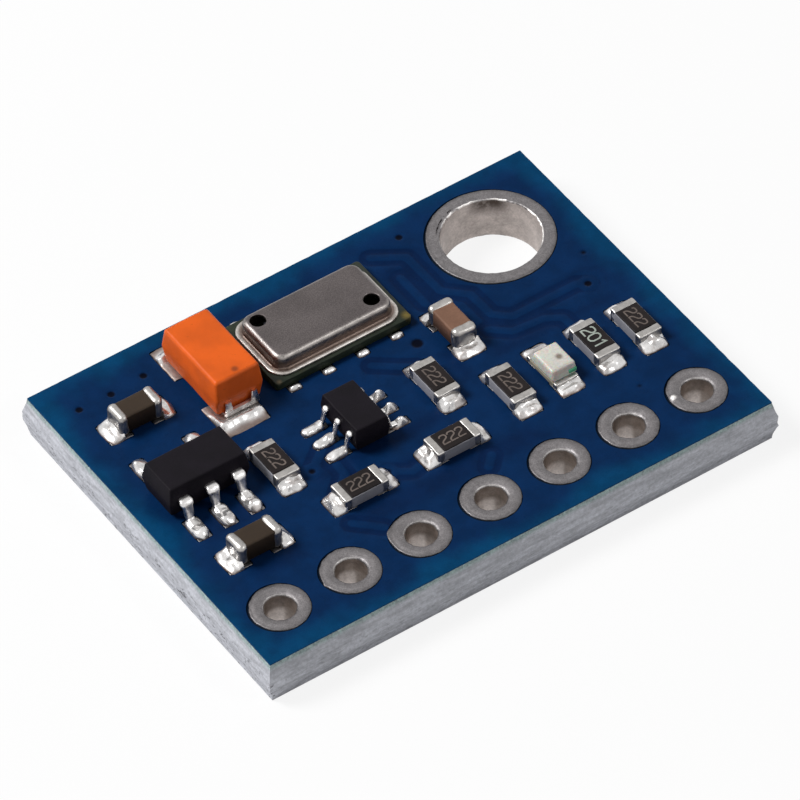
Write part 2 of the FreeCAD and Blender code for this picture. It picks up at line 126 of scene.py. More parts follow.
class ModuleSizes(bpy.types.PropertyGroup):
    trace_relief: length("Trace relief", "How far the mask stands up over copper", 0.025)
    trace_width: length("Trace width", "Width of a thin copper trace", 0.27)
    trace_gap: length("Trace gap", "Bare gap between a trace and the copper round it", 0.24)
    mask_grid: length("Mask grid", "Distance between the points of the mask's sheet", 0.11)
    edge_roughness: length("Edge roughness", "Depth of the scored edges' broken fibres", 0.035)
    resistor_band: length("Resistor end", "Length of a resistor's metal end", 0.28)
    capacitor_band: length("Capacitor end", "Length of a capacitor's metal cap", 0.36)
    land_toe: length("Land toe", "How far a land runs out beyond a chip's end", 0.40)
    lid_edge: length("Lid edge", "Radius of the sensor lid's rounded top edge", 0.19)
    solder_lumps: factor("Solder lumps", "How uneven the solder joints are", 0.2)


class ModuleColours(bpy.types.PropertyGroup):
    mask_copper: colour("Mask on copper", "Solder mask where copper lies under it",
                        (0.003, 0.0235, 0.086))
    mask_bare: colour("Mask on laminate", "Solder mask where no copper lies under it",
                      (0.0027, 0.0174, 0.068))
    mask_edge: colour("Mask at edges", "Solder mask lit through near the edges",
                      (0.002, 0.066, 0.165))
    laminate: colour("Laminate", "Broken glass fibre of the board's edges", (0.51, 0.52, 0.565))
    tin: colour("Tin", "Dull tin of the rings", (0.173, 0.163, 0.166))
    solder: colour("Solder", "Bright solder", (0.70, 0.685, 0.675))
    # Brown that is partly flux and partly painted dark reflection, on the solder and the leads
    flux: colour("Flux", "Brown flux left on solder", (0.20, 0.15, 0.13))
    terminal: colour("Terminal", "Metal ends of the chip parts", (0.37, 0.355, 0.34))
    lid: colour("Lid", "Drawn metal lid of the sensor", (0.112, 0.098, 0.097))
    orange: colour("Orange resin", "Tantalum capacitor's case", (0.80, 0.125, 0.012))
    black: colour("Black resin", "Moulded packages", (0.005, 0.0036, 0.0062))
    coat: colour("Resistor coat", "Black glaze of the resistors", (0.010, 0.007, 0.007))
    digits: colour("Resistor digits", "Value digits on the resistors", (0.16, 0.13, 0.115))
    ceramic: colour("White ceramic", "Sides of the resistors", (0.28, 0.28, 0.31))
    brown: colour("Brown ceramic", "Body of the two left capacitors", (0.042, 0.028, 0.018))
    pink: colour("Pinkish ceramic", "Body of the capacitor beside the sensor", (0.22, 0.118, 0.078))
    milk: colour("Light body", "Milky body of the light", (0.70, 0.68, 0.61))
    base: colour("Light base", "Base under the light", (0.30, 0.27, 0.20))
    substrate: colour("Sensor base", "Edge of the sensor's small board", (0.011, 0.017, 0.009))
    floor: colour("Floor", "Studio floor", (0.97, 0.97, 0.97))


def size_of(name):
    """A size of the module in millimetres."""
    return getattr(bpy.context.scene.module_sizes, name) / MM


# Finishes

# Stains, marks, wear and painted shade, highlights and reflection that a user has no need to change
tints = {
    "mask_gap": (0.0014, 0.0092, 0.046),
    "mask_via": (0.001, 0.002, 0.008),
    "fibre_fleck": (0.09, 0.09, 0.10),
    "bare_glass": (0.30, 0.42, 0.40),
    "under_mask": (0.004, 0.010, 0.022),
    "pale_plating": (0.66, 0.60, 0.57),
    "brown_plating": (0.27, 0.22, 0.19),
    "mounting_plating": (0.48, 0.425, 0.40),
    "mounting_stain": (0.06, 0.042, 0.033),
    "lid_wall": (0.15, 0.112, 0.095),
    "worn_lid": (0.50, 0.47, 0.44),
    "worn_tin": (0.85, 0.82, 0.80),
    "cracked_tin": (0.012, 0.010, 0.010),
    "board_stain": (0.06, 0.055, 0.012),
    "olive_corner": (0.22, 0.16, 0.035),
    "brown_corner": (0.16, 0.12, 0.07),
    "orange_speck": (0.30, 0.045, 0.006),
    "orange_dot": (0.16, 0.035, 0.01),
    "milk_dot": (0.16, 0.09, 0.05),
    "pale_digits": (0.42, 0.47, 0.42),
    "green_mark": (0.09, 0.44, 0.24),
    "silicon": (0.035, 0.035, 0.045),
    "light_chip": (0.16, 0.08, 0.025),
}

# Most values of a noise lie between these two
noise_low, noise_high = 0.3, 0.7


def colour_of(name):
    """A colour by name: one that a user may change, or else a tint."""
    paint = tints.get(name) or tuple(getattr(bpy.context.scene.module_colours, name))
    return paint + (1.0,)


class Finish:
    """A material's nodes, with short ways to add those that the module needs."""

    def __init__(self, name, **values):
        self.material = bpy.data.materials.new(name)
        self.material.use_nodes = True
        self.nodes = self.material.node_tree.nodes
        self.links = self.material.node_tree.links
        self.shader = self.nodes["Principled BSDF"]
        where = self.nodes.new("ShaderNodeTexCoord")
        scale = self.nodes.new("ShaderNodeVectorMath")
        scale.operation = "SCALE"
        scale.inputs["Scale"].default_value = 1 / MM
        self.links.new(where.outputs["Object"], scale.inputs[0])
        self.place = scale.outputs[0]
        for socket, value in values.items():
            self.shader.inputs[socket.replace("_", " ")].default_value = value

    def put(self, socket, value):
        """Sets a node's socket to a number or colour, or links it."""
        if isinstance(value, bpy.types.NodeSocket):
            self.links.new(value, socket)
        else:
            socket.default_value = value

    def stretched(self, scale):
        """The place, stretched so that a noise runs in streaks."""
        node = self.nodes.new("ShaderNodeMapping")
        node.inputs["Scale"].default_value = scale
        self.links.new(self.place, node.inputs["Vector"])
        return node.outputs[0]

    def noise(self, per_mm, detail=2.0, rough=0.5, place=None):
        node = self.nodes.new("ShaderNodeTexNoise")
        node.inputs["Scale"].default_value = per_mm
        node.inputs["Detail"].default_value = detail
        node.inputs["Roughness"].default_value = rough
        self.links.new(place or self.place, node.inputs["Vector"])
        return node.outputs["Fac"]

    def attribute(self, name):
        node = self.nodes.new("ShaderNodeAttribute")
        node.attribute_name = name
        return node.outputs["Fac"]

    def along(self, axis):
        """Where the surface lies along an axis, in millimetres."""
        node = self.nodes.new("ShaderNodeSeparateXYZ")
        self.links.new(self.place, node.inputs[0])
        return node.outputs[axis]

    def away_from(self, place):
        """How far the surface lies from a place, in millimetres."""
        node = self.nodes.new("ShaderNodeVectorMath")
        node.operation = "DISTANCE"
        node.inputs[1].default_value = place
        self.links.new(self.place, node.inputs[0])
        return node.outputs["Value"]

    def spread(self, value, low, high, to_low=0.0, to_high=1.0):
        """A value from one range to another, held at both ends."""
        node = self.nodes.new("ShaderNodeMapRange")
        node.interpolation_type = "SMOOTHSTEP"
        ends = {"From Min": low, "From Max": high, "To Min": to_low, "To Max": to_high}
        for socket, number in ends.items():
            node.inputs[socket].default_value = number
        self.links.new(value, node.inputs["Value"])
        return node.outputs[0]

    def varied(self, value, low, high):
        """A noise, brought to a range of its own."""
        return self.spread(value, noise_low, noise_high, low, high)

    def maths(self, kind, first, second):
        node = self.nodes.new("ShaderNodeMath")
        node.operation = kind
        self.put(node.inputs[0], first)
        self.put(node.inputs[1], second)
        return node.outputs[0]

    def product(self, first, *others):
        for other in others:
            first = self.maths("MULTIPLY", first, other)
        return first

    def mix(self, share, first, second, kind="MIX"):
        node = self.nodes.new("ShaderNodeMix")
        node.data_type = "RGBA"
        node.blend_type = kind
        self.put(node.inputs[0], share)
        self.put(node.inputs[6], first)
        self.put(node.inputs[7], second)
        return node.outputs[2]

    def darken(self, paint, value):
        return self.mix(1.0, paint, value, "MULTIPLY")

    def shade(self, paint, value, low, high):
        """A colour that a noise makes lighter and darker."""
        return self.darken(paint, self.varied(value, low, high))

    def bump(self, value, depth, strength):
        node = self.nodes.new("ShaderNodeBump")
        node.inputs["Distance"].default_value = depth * MM
        node.inputs["Strength"].default_value = strength
        self.links.new(value, node.inputs["Height"])
        self.links.new(node.outputs[0], self.shader.inputs["Normal"])

    def paint(self, value):
        self.put(self.shader.inputs["Base Color"], value)

    def roughness(self, value):
        self.put(self.shader.inputs["Roughness"], value)


def finish_mask():
    """The blue film: lighter over copper, dark in the gaps beside it and darkest at the copper's
    edge, partly for bare laminate and partly as painted shade of the mask's slope, lit through at
    the edges.
    """
    made = Finish("blue_mask", Roughness=0.3, Specular_IOR_Level=0.03)
    over_copper = made.spread(made.attribute("copper"), -0.04, 0.03)
    # Painted shade: each gap darkens towards the copper's edge, where the mask slopes
    gap_edge_shade = made.spread(made.attribute("copper"), -0.22, -0.03, 0.0, 0.35)
    # Darker zones: no copper under the mask, and in two of them painted shadow as well
    bare_and_shaded_ground = made.spread(made.attribute("bare"), -0.15, 0.35)
    ground = made.mix(bare_and_shaded_ground, colour_of("mask_copper"), colour_of("mask_bare"))
    gap = made.mix(gap_edge_shade, colour_of("mask_bare"), colour_of("mask_gap"))
    paint = made.mix(over_copper, gap, ground)
    wander = made.varied(made.noise(0.5, 3.0), -0.22, 0.40)
    near_edge = made.maths("ADD", made.attribute("edge"), wander)
    rim_light = made.spread(near_edge, 0.0, 1.0, 0.66, 0.0)
    paint = made.mix(rim_light, paint, colour_of("mask_edge"))
    via = made.spread(made.attribute("via"), 0.05, 0.45)
    paint = made.mix(via, paint, colour_of("mask_via"))
    paint = made.shade(paint, made.noise(1.6, 4.0), 0.88, 1.12)
    made.paint(made.shade(paint, made.noise(22.0, 2.0), 0.93, 1.07))
    made.roughness(made.varied(made.noise(3.0, 3.0), 0.26, 0.42))
    made.bump(made.noise(4.5, 3.0), 0.004, 0.4)
    return made.material


def finish_laminate():
    """Broken glass fibre: streaked, flecked mostly on the left edge, greenish under the mask."""
    made = Finish("scored_laminate", Roughness=0.85, Specular_IOR_Level=0.15)
    fibres = made.noise(1.1, 4.0, 0.6, made.stretched((1.0, 1.0, 7.0)))
    grains = made.noise(9.0, 3.0, 0.7)
    paint = made.shade(colour_of("laminate"), fibres, 0.8, 1.16)
    paint = made.shade(paint, grains, 0.88, 1.12)
    chips = made.noise(3.6, 3.0, 0.75, made.stretched((1.0, 1.0, 1.8)))
    low_down = made.spread(made.along("Z"), 0.80, 1.20, 0.8, 0.0)
    to_the_left = made.spread(made.along("X"), -9.12, -8.8, 1.0, 0.3)
    flecks = made.product(made.spread(chips, 0.57, 0.63), low_down, to_the_left)
    paint = made.mix(flecks, paint, colour_of("fibre_fleck"))
    glass = made.shade(colour_of("bare_glass"), made.noise(10.0, 3.0, 0.8), 0.45, 1.35)
    top = made.product(made.spread(made.along("Z"), 1.30, 1.48), 0.75)
    made.paint(made.mix(top, paint, glass))
    made.bump(grains, 0.02, 0.5)
    return made.material


def finish_barrel():
    """Plating inside a hole: pale low down on its lit side as painted light from below, and
    elsewhere brown as painted shade, and stained.
    """
    made = Finish("hole_plating", Metallic=0.75, Roughness=0.5)
    stain = made.noise(1.7, 4.0, 0.65)
    pale = made.shade(colour_of("pale_plating"), stain, 0.88, 1.1)
    brown = made.shade(colour_of("brown_plating"), stain, 0.65, 1.25)
    # Painted light and shade: pale low down on the lit side, brown higher up and on the other sides
    low_down = made.spread(made.along("Z"), 0.88, 1.12, 1.0, 0.12)
    lit_side = made.spread(made.attribute("pale"), 0.35, 0.7, 0.25, 1.0)
    paint = made.mix(made.product(low_down, lit_side), brown, pale)
    made.paint(made.shade(paint, made.noise(16.0, 2.0, 0.7), 0.88, 1.1))
    made.bump(stain, 0.01, 0.6)
    return made.material


def finish_ring_barrel():
    """Plating inside the mounting hole: pale, with a dark brown patch high on its back wall, under
    its edge.
    """
    made = Finish("mounting_plating", Metallic=0.6, Roughness=0.45)
    stain = made.noise(2.2, 4.0, 0.7)
    paint = made.shade(colour_of("mounting_plating"), stain, 0.8, 1.14)
    # A dark brown patch high on the back wall, under its edge
    patch_x = 7.1
    beside = made.maths("ABSOLUTE", made.maths("SUBTRACT", made.along("X"), patch_x), 0.0)
    patch = made.product(made.spread(beside, 0.2, 0.75, 1.0, 0.0),
                         made.spread(made.along("Y"), 4.9, 5.3),
                         made.spread(made.along("Z"), 0.85, 1.45),
                         made.spread(stain, 0.3, 0.5, 0.5, 1.0))
    paint = made.mix(patch, paint, colour_of("mounting_stain"))
    made.paint(made.shade(paint, made.noise(14.0, 3.0, 0.7), 0.85, 1.1))
    made.bump(stain, 0.01, 0.6)
    return made.material


def finish_ring_tin():
    """Dull tin of a hole's ring: darker towards its rim as painted shade, and bright in places
    along its mouth as a painted highlight.
    """
    made = Finish("ring_tin", Metallic=1.0, Roughness=0.5)
    inward = made.attribute("inward")
    grain = made.noise(6.0, 4.0, 0.6)
    paint = made.shade(colour_of("tin"), grain, 0.88, 1.1)
    # Painted shade: darker towards the outer rim
    paint = made.darken(paint, made.spread(inward, 0.0, 0.35, 0.66, 1.0))
    # Painted highlight: bright along the mouth where marked, broken up by a noise, with a painted
    # glint where marked
    chips = made.spread(made.noise(1.1, 3.0, 0.65), 0.36, 0.47)
    worn = made.product(made.spread(inward, 0.89, 0.96), made.spread(chips, 0.0, 1.0, 0.05, 0.9),
                        made.attribute("broken"))
    worn = made.maths("MAXIMUM", worn, made.attribute("spark"))
    paint = made.mix(worn, paint, colour_of("worn_tin"))
    crack = made.product(made.spread(inward, 0.66, 0.72), made.spread(inward, 0.78, 0.84, 1.0, 0.0),
                         made.spread(made.noise(4.5, 3.0, 0.7), 0.43, 0.48),
                         made.spread(made.attribute("jagged"), 0.3, 0.7))
    paint = made.mix(crack, paint, colour_of("cracked_tin"))
    made.paint(made.shade(paint, made.noise(26.0, 3.0, 0.75), 0.74, 1.28))
    made.roughness(made.varied(made.noise(8.0, 3.0), 0.44, 0.6))
    made.bump(grain, 0.006, 0.7)
    return made.material


def finish_lid():
    """Finely speckled lid metal, with painted highlights on its shoulders and on the rim of its
    flange, and walls in a browner painted reflection.
    """
    made = Finish("lid_metal", Metallic=1.0, Roughness=0.36)
    speck = made.noise(24.0, 3.0, 0.75)
    slow = made.noise(0.9, 3.0)
    lid_highlight_breakup = made.spread(made.noise(2.5, 3.0), 0.3, 0.6, 0.55, 1.0)
    # The walls take a browner copy of the lid metal, a painted reflection
    wall = made.spread(made.along("Z"), 2.27, 2.40, 1.0, 0.0)
    paint = made.mix(wall, colour_of("lid"), colour_of("lid_wall"))
    # Painted highlights on the shoulders and the flange's rim, broken up by a noise
    paint = made.mix(made.product(made.attribute("worn"), lid_highlight_breakup), paint, colour_of("worn_lid"))
    paint = made.shade(paint, slow, 0.9, 1.12)
    made.paint(made.shade(paint, speck, 0.74, 1.3))
    made.roughness(made.varied(speck, 0.28, 0.44))
    made.bump(speck, 0.004, 0.8)
    return made.material


def finish_solder():
    """Solder: bright where it stands up, duller and brownish where it runs out thin and in patches;
    the brown is partly flux and partly painted dark reflection.
    """
    made = Finish("bright_solder", Metallic=0.75, Roughness=0.3)
    grain = made.noise(3.0, 3.0, 0.5)
    above_land = made.spread(made.maths("SUBTRACT", made.along("Z"), land_top), 0.01, 0.10)
    clean = made.spread(made.noise(2.2, 3.0, 0.6), 0.36, 0.48, 0.55, 1.0)
    thick = made.product(above_land, clean)
    # Brown in thin solder and in patches: partly flux, partly painted dark reflection
    paint = made.mix(thick, colour_of("flux"), colour_of("solder"))
    paint = made.shade(paint, grain, 0.85, 1.15)
    made.paint(made.shade(paint, made.noise(15.0, 2.0, 0.7), 0.94, 1.06))
    made.roughness(made.spread(thick, 0.0, 1.0, 0.44, 0.23))
    made.bump(grain, 0.004, 0.6)
    return made.material


def finish_substrate():
    """Edge of the sensor's small board: thin layers, olive and brown at two of its corners."""
    made = Finish("sensor_board", Roughness=0.5, Specular_IOR_Level=0.25)
    layers = made.noise(2.0, 3.0, 0.6, made.stretched((1.0, 1.0, 12.0)))
    paint = made.shade(colour_of("substrate"), layers, 0.6, 1.5)
    stain = made.spread(made.noise(1.1, 3.0), 0.55, 0.8, 0.0, 0.5)
    paint = made.mix(stain, paint, colour_of("board_stain"))
    for corner, reach, tint in (((2.07, 2.60, 1.9), 0.26, "olive_corner"),
                                ((-2.68, 2.52, 1.9), 0.13, "brown_corner")):
        spot = made.product(made.spread(made.away_from(corner), 0.0, reach, 0.9, 0.0),
                            made.spread(layers, 0.3, 0.6, 0.4, 1.0))
        paint = made.mix(spot, paint, colour_of(tint))
    made.paint(made.shade(paint, made.noise(14.0, 2.0), 0.85, 1.15))
    made.bump(layers, 0.006, 0.6)
    return made.material


def finish_orange():
    """Orange moulded resin with a few dark specks and one dark dot by the front right corner."""
    made = Finish("orange_resin", Roughness=0.45, Specular_IOR_Level=0.2)
    specks = made.noise(5.5, 3.0, 0.7)
    paint = made.shade(colour_of("orange"), made.noise(1.0, 3.0), 0.9, 1.08)
    paint = made.mix(made.spread(specks, 0.62, 0.8, 0.0, 0.6), paint, colour_of("orange_speck"))
    dot_place = (-4.05, 2.80, 3.08)
    dot = made.spread(made.away_from(dot_place), 0.04, 0.17, 0.72, 0.0)
    made.paint(made.mix(dot, paint, colour_of("orange_dot")))
    made.roughness(made.varied(specks, 0.36, 0.52))
    made.bump(made.noise(14.0, 3.0), 0.006, 0.6)
    return made.material


def finish_milk():
    """The light's milky body, brown where its chip shows through the top."""
    made = Finish("milky_resin", Specular_IOR_Level=0.5, Subsurface_Weight=0.5,
                  Subsurface_Scale=0.0004)
    x, y, _ = place_of("led_base")
    dot_place = (x + 0.17, y - 0.12, seat + 0.6)
    grain = made.noise(12.0, 3.0, 0.65)
    paint = made.shade(colour_of("milk"), made.noise(0.8, 2.0), 0.93, 1.05)
    dot = made.spread(made.away_from(dot_place), 0.04, 0.17, 0.85, 0.0)
    paint = made.mix(dot, paint, colour_of("milk_dot"))
    made.paint(made.shade(paint, grain, 0.96, 1.04))
    made.roughness(made.varied(grain, 0.22, 0.36))
    made.bump(grain, 0.004, 0.6)
    return made.material


def finish_ceramic(name, paint):
    """A capacitor's ceramic, darker down its sides towards its foot as painted shade."""
    made = Finish(name, Specular_IOR_Level=0.15)
    grain = made.noise(15.0, 3.0, 0.65)
    tone = made.shade(colour_of(paint), made.noise(1.0, 2.0), 0.88, 1.12)
    tone = made.shade(tone, grain, 0.93, 1.07)
    # Painted shade: darker towards the foot
    made.paint(made.darken(tone, made.spread(made.along("Z"), 1.75, 2.42, 0.22, 1.0)))
    made.roughness(made.varied(grain, 0.4, 0.55))
    made.bump(grain, 0.004, 0.6)
    return made.material


def finish_metal(name, paint, roughness, per_mm, tone, depth, flux=None):
    """A metal with uneven gloss and fine grain, and brown where a noise lies in the last range,
    partly flux and partly painted dark reflection.
    """
    made = Finish(name, Metallic=1.0, Roughness=sum(roughness) / 2)
    grain = made.noise(per_mm, 4.0, 0.6)
    shaded = made.shade(colour_of(paint), grain, *tone)
    shaded = made.shade(shaded, made.noise(per_mm * 5, 2.0, 0.7), 0.93, 1.07)
    # Brown stains: partly flux, partly painted dark reflection
    if flux:
        stain = made.spread(made.noise(per_mm * 0.55, 3.0, 0.6), *flux)
        shaded = made.mix(stain, shaded, colour_of("flux"))
    made.paint(shaded)
    made.roughness(made.varied(made.noise(per_mm * 1.3, 3.0), *roughness))
    made.bump(grain, depth, 0.7)
    return made.material


def finish_resin(name, paint, roughness, per_mm, tone, depth, specular):
    """A resin, glaze or ceramic with a fine grain and slow changes of tone."""
    made = Finish(name, Specular_IOR_Level=specular)
    grain = made.noise(per_mm * 3, 3.0, 0.65)
    shaded = made.shade(colour_of(paint), made.noise(per_mm * 0.2, 2.0), *tone)
    made.paint(made.shade(shaded, grain, 0.93, 1.07))
    made.roughness(made.varied(grain, *roughness))
    made.bump(grain, depth, 0.6)
    return made.material


# Each look with its maker and what the maker is given. For metals and resins that is the
# material's name, its colour, its roughness from and to, the grain per millimetre, the change
# of tone, the grain's depth, and for resins the specular level.
looks = {
    "mask": (finish_mask,),
    "laminate": (finish_laminate,),
    "barrel": (finish_barrel,),
    "ring_barrel": (finish_ring_barrel,),
    "ring_tin": (finish_ring_tin,),
    "lid": (finish_lid,),
    "solder": (finish_solder,),
    "substrate": (finish_substrate,),
    "orange": (finish_orange,),
    "milk": (finish_milk,),
    "brown": (finish_ceramic, "brown_ceramic", "brown"),
    "pink": (finish_ceramic, "pinkish_ceramic", "pink"),
    "land": (finish_metal, "land_tin", "tin", (0.3, 0.45), 6.0, (0.8, 1.1), 0.004),
    "terminal": (finish_metal, "terminal_tin", "terminal", (0.3, 0.46), 5.0, (0.86, 1.12), 0.004),
    "lead": (finish_metal, "lead_tin", "solder", (0.26, 0.38), 4.0, (0.8, 1.12), 0.003,
             (0.62, 0.80)),
    "under_mask": (finish_resin, "laminate_face", "under_mask", (0.7, 0.85), 5.0, (0.8, 1.2),
                   0.003, 0.05),
    "black": (finish_resin, "black_resin", "black", (0.5, 0.65), 7.0, (0.8, 1.25), 0.008, 0.10),
    "coat": (finish_resin, "resistor_glaze", "coat", (0.35, 0.5), 6.0, (0.7, 1.4), 0.003, 0.14),
    "digits": (finish_resin, "value_paint", "digits", (0.5, 0.65), 8.0, (0.8, 1.15), 0.003, 0.2),
    "bright_digits": (finish_resin, "pale_value_paint", "pale_digits", (0.5, 0.65), 8.0,
                      (0.85, 1.1), 0.003, 0.2),
    "ceramic": (finish_resin, "white_ceramic", "ceramic", (0.5, 0.65), 6.0, (0.9, 1.1), 0.004,
                0.25),
    "base": (finish_resin, "light_base", "base", (0.45, 0.6), 5.0, (0.7, 1.25), 0.006, 0.3),
    "green": (finish_resin, "green_mark", "green_mark", (0.45, 0.6), 6.0, (0.9, 1.1), 0.003, 0.3),
    "silicon": (finish_resin, "silicon", "silicon", (0.2, 0.35), 5.0, (0.9, 1.1), 0.002, 0.5),
    "chip": (finish_resin, "light_chip", "light_chip", (0.4, 0.55), 8.0, (0.85, 1.15), 0.003, 0.3),
}
finishes = {}


def finish(look):
    """The material of a look, made when it is first asked for."""
    if look not in finishes:
        maker, *values = looks[look]
        finishes[look] = maker(*values)
    return finishes[look]


# Shapes

class Form:
    """Points in millimetres and faces, gathered until they become one piece."""

    def __init__(self):
        self.points = []
        self.faces = []
        self.count = 0

    def add(self, shape, place=(0, 0, 0), level=0.0):
        """Adds a shape drawn about the origin, turned and set on its place."""
        points, faces = shape
        points = np.asarray(points, float)
        x, y, turn = place
        along, across = math.cos(math.radians(turn)), math.sin(math.radians(turn))
        placed = points.copy()
        placed[:, 0] = x + along * points[:, 0] - across * points[:, 1]
        placed[:, 1] = y + across * points[:, 0] + along * points[:, 1]
        placed[:, 2] += level
        self.points.append(placed)
        self.faces += [tuple(index + self.count for index in face) for face in faces]
        self.count += len(points)
        return self


def piece(name, form, look, nodes, sharp=38, weld=True, marks=None, second=None):
    """Makes a form one mesh object that rides on the board and stands for its CAD nodes."""
    mesh = bpy.data.meshes.new(name)
    low, high = (np.array(corner) for corner in cad_box)
    points = np.clip(np.vstack(form.points) * MM, low, high)
    mesh.from_pydata(points.tolist(), [], form.faces)
    for mark, values in (marks or {}).items():
        attribute = mesh.attributes.new(mark, "FLOAT", "POINT")
        attribute.data.foreach_set("value", np.asarray(values, np.float32))
    if weld:
        work = bmesh.new()
        work.from_mesh(mesh)
        bmesh.ops.remove_doubles(work, verts=work.verts, dist=0.0002 * MM)
        bmesh.ops.recalc_face_normals(work, faces=work.faces)
        work.to_mesh(mesh)
        work.free()
    mesh.shade_smooth()
    mesh.set_sharp_from_angle(angle=math.radians(sharp))
    mesh.materials.append(finish(look))
    if second:
        mesh.materials.append(finish(second[0]))
        for face in mesh.polygons:
            face.material_index = int(second[1](np.array(face.center) / MM, face.normal))
    made = bpy.data.objects.new(name, mesh)
    bpy.context.scene.collection.objects.link(made)
    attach(made, "root")
    if nodes:
        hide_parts(*nodes)
    return made


def random_at(points, size, seed):
    """A smooth random value, about -0.7 to 0.7, at each point, changing over the given size."""
    shift = Vector((seed * 7.31, seed * 3.77, seed * 1.93))
    return np.array([noise.noise(Vector(p) / size + shift) for p in np.asarray(points, float)])


def uneven(shape, size, amount, seed):
    """The shape with each point pushed a little at random."""
    points, faces = shape
    shift = Vector((seed * 5.17, seed * 2.39, seed * 8.11))
    pushed = [Vector(p) + amount * noise.noise_vector(Vector(p) / size + shift) for p in points]
    return np.array(pushed), faces


def side_steps(half, radius, arc_steps, flat_step):
    """Positions along a block's side, close together over its rounded ends."""
    arc = [half - radius + radius * math.tan(math.pi / 4 * k / arc_steps)
           for k in range(arc_steps + 1)]
    count = max(1, round(2 * (half - radius) / flat_step))
    flat = [(2 * k / count - 1) * (half - radius) for k in range(1, count)]
    return [-v for v in reversed(arc)] + flat + arc


def rounded_block(low, high, radius, arc_steps=3, flat_step=0.15):
    """A block with rounded edges and corners."""
    low, high = np.array(low, float), np.array(high, float)
    middle, half = (low + high) / 2, (high - low) / 2
    radius = min(radius, half.min() * 0.98)
    steps = [side_steps(h, radius, arc_steps, flat_step) for h in half]
    index, points, faces = {}, [], []
    for axis in range(3):
        a, b = (axis + 1) % 3, (axis + 2) % 3
        for side in (-1, 1):
            for i in range(len(steps[a]) - 1):
                for j in range(len(steps[b]) - 1):
                    quad = []
                    for u, v in ((i, j), (i + 1, j), (i + 1, j + 1), (i, j + 1)):
                        point = [0.0, 0.0, 0.0]
                        point[axis] = side * half[axis]
                        point[a], point[b] = steps[a][u], steps[b][v]
                        key = tuple(round(value, 6) for value in point)
                        if key not in index:
                            index[key] = len(points)
                            points.append(point)
                        quad.append(index[key])
                    faces.append(tuple(quad if side > 0 else quad[::-1]))
    points = np.array(points)
    core = np.clip(points, radius - half, half - radius)
    out = points - core
    points = core + out / np.linalg.norm(out, axis=1)[:, None] * radius
    return points + middle, faces


def leaning(shape, waist, slope_x, slope_y):
    """Draws a block's sides in, above and below its waist, by the slope at its top and foot."""
    points, faces = shape
    points = points.copy()
    low, high = points.min(axis=0), points.max(axis=0)
    middle = (low + high) / 2
    rise = np.where(points[:, 2] > waist, (points[:, 2] - waist) / (high[2] - waist),
                    (waist - points[:, 2]) / (waist - low[2]))
    for axis, slope in ((0, slope_x), (1, slope_y)):
        half = (high[axis] - low[axis]) / 2
        share = 1 - slope * rise / half
        points[:, axis] = middle[axis] + (points[:, axis] - middle[axis]) * share
    return points, faces


def ring(half_x, half_y, corner, z, per_corner, per_side):
    """Points round a rounded rectangle, counter-clockwise."""
    corner = max(corner, 0.001)
    points = []
    for quarter, (sx, sy) in enumerate(((1, 1), (-1, 1), (-1, -1), (1, -1))):
        cx, cy = sx * (half_x - corner), sy * (half_y - corner)
        for k in range(per_corner + 1):
            angle = math.pi / 2 * (quarter + k / per_corner)
            points.append((cx + corner * math.cos(angle), cy + corner * math.sin(angle), z))
        nx, ny = ((-1, 1), (-1, -1), (1, -1), (1, 1))[quarter]
        nx, ny = nx * (half_x - corner), ny * (half_y - corner)
        angle = math.pi / 2 * (quarter + 1)
        start = np.array(points[-1])
        end = np.array((nx + corner * math.cos(angle), ny + corner * math.sin(angle), z))
        points += [tuple(start + (end - start) * k / per_side) for k in range(1, per_side)]
    return points


def circle(x, y, radius, z, count):
    """Points round a circle, counter-clockwise."""
    angles = [2 * math.pi / count * k for k in range(count)]
    return [(x + radius * math.cos(angle), y + radius * math.sin(angle), z) for angle in angles]


def band(rings):
    """A skin through rings of the same number of points."""
    count = len(rings[0])
    faces = []
    for level in range(len(rings) - 1):
        for k in range(count):
            beside = (k + 1) % count
            faces.append((level * count + k, level * count + beside,
                          (level + 1) * count + beside, (level + 1) * count + k))
    return np.array([point for one in rings for point in one]), faces


def capped(rings):
    """A closed solid through rings, its ends closed by flat faces."""
    points, faces = band(rings)
    count = len(rings[0])
    last = len(points) - count
    return points, faces + [tuple(range(count))[::-1], tuple(range(last, last + count))]


def sheet(outline, holes, inside=()):
    """A flat sheet of triangles with holes, at its outline's height."""
    loops = [outline] + list(holes)
    flat, edges = [], []
    for loop in loops:
        start = len(flat)
        flat += [Vector((p[0], p[1])) for p in loop]
        edges += [(start + k, start + (k + 1) % len(loop)) for k in range(len(loop))]
    level = loops[0][0][2]
    flat += [Vector((p[0], p[1])) for p in inside]
    points, _, faces, *_ = delaunay_2d_cdt(flat, edges, [], 0, 1e-7)
    points = np.array([(p[0], p[1], level) for p in points])
    middles = np.array([points[list(face)].mean(axis=0)[:2] for face in faces])
    keep = within(middles, outline)
    for hole in holes:
        keep &= ~within(middles, hole)
    return points, [tuple(face) for face, kept in zip(faces, keep) if kept]


def within(points, outline):
    """Which points lie inside an outline."""
    shape = np.array([p[:2] for p in outline])
    x, y = points[:, 0], points[:, 1]
    inside = np.zeros(len(points), bool)
    for (x1, y1), (x2, y2) in zip(shape, np.roll(shape, -1, axis=0)):
        if y1 != y2:
            crosses = (y1 > y) != (y2 > y)
            inside ^= crosses & (x < (x2 - x1) * (y - y1) / (y2 - y1) + x1)
    return inside


def line_distance(points, line, closed=False):
    """How far each point is from a line of straight runs."""
    line = [np.array(p[:2], float) for p in line]
    if closed:
        line.append(line[0])
    best = np.full(len(points), 1e9)
    for start, end in zip(line, line[1:]):
        run = end - start
        share = np.clip(((points - start) @ run) / max(run @ run, 1e-12), 0, 1)
        best = np.minimum(best, np.linalg.norm(points - start - share[:, None] * run, axis=1))
    return best


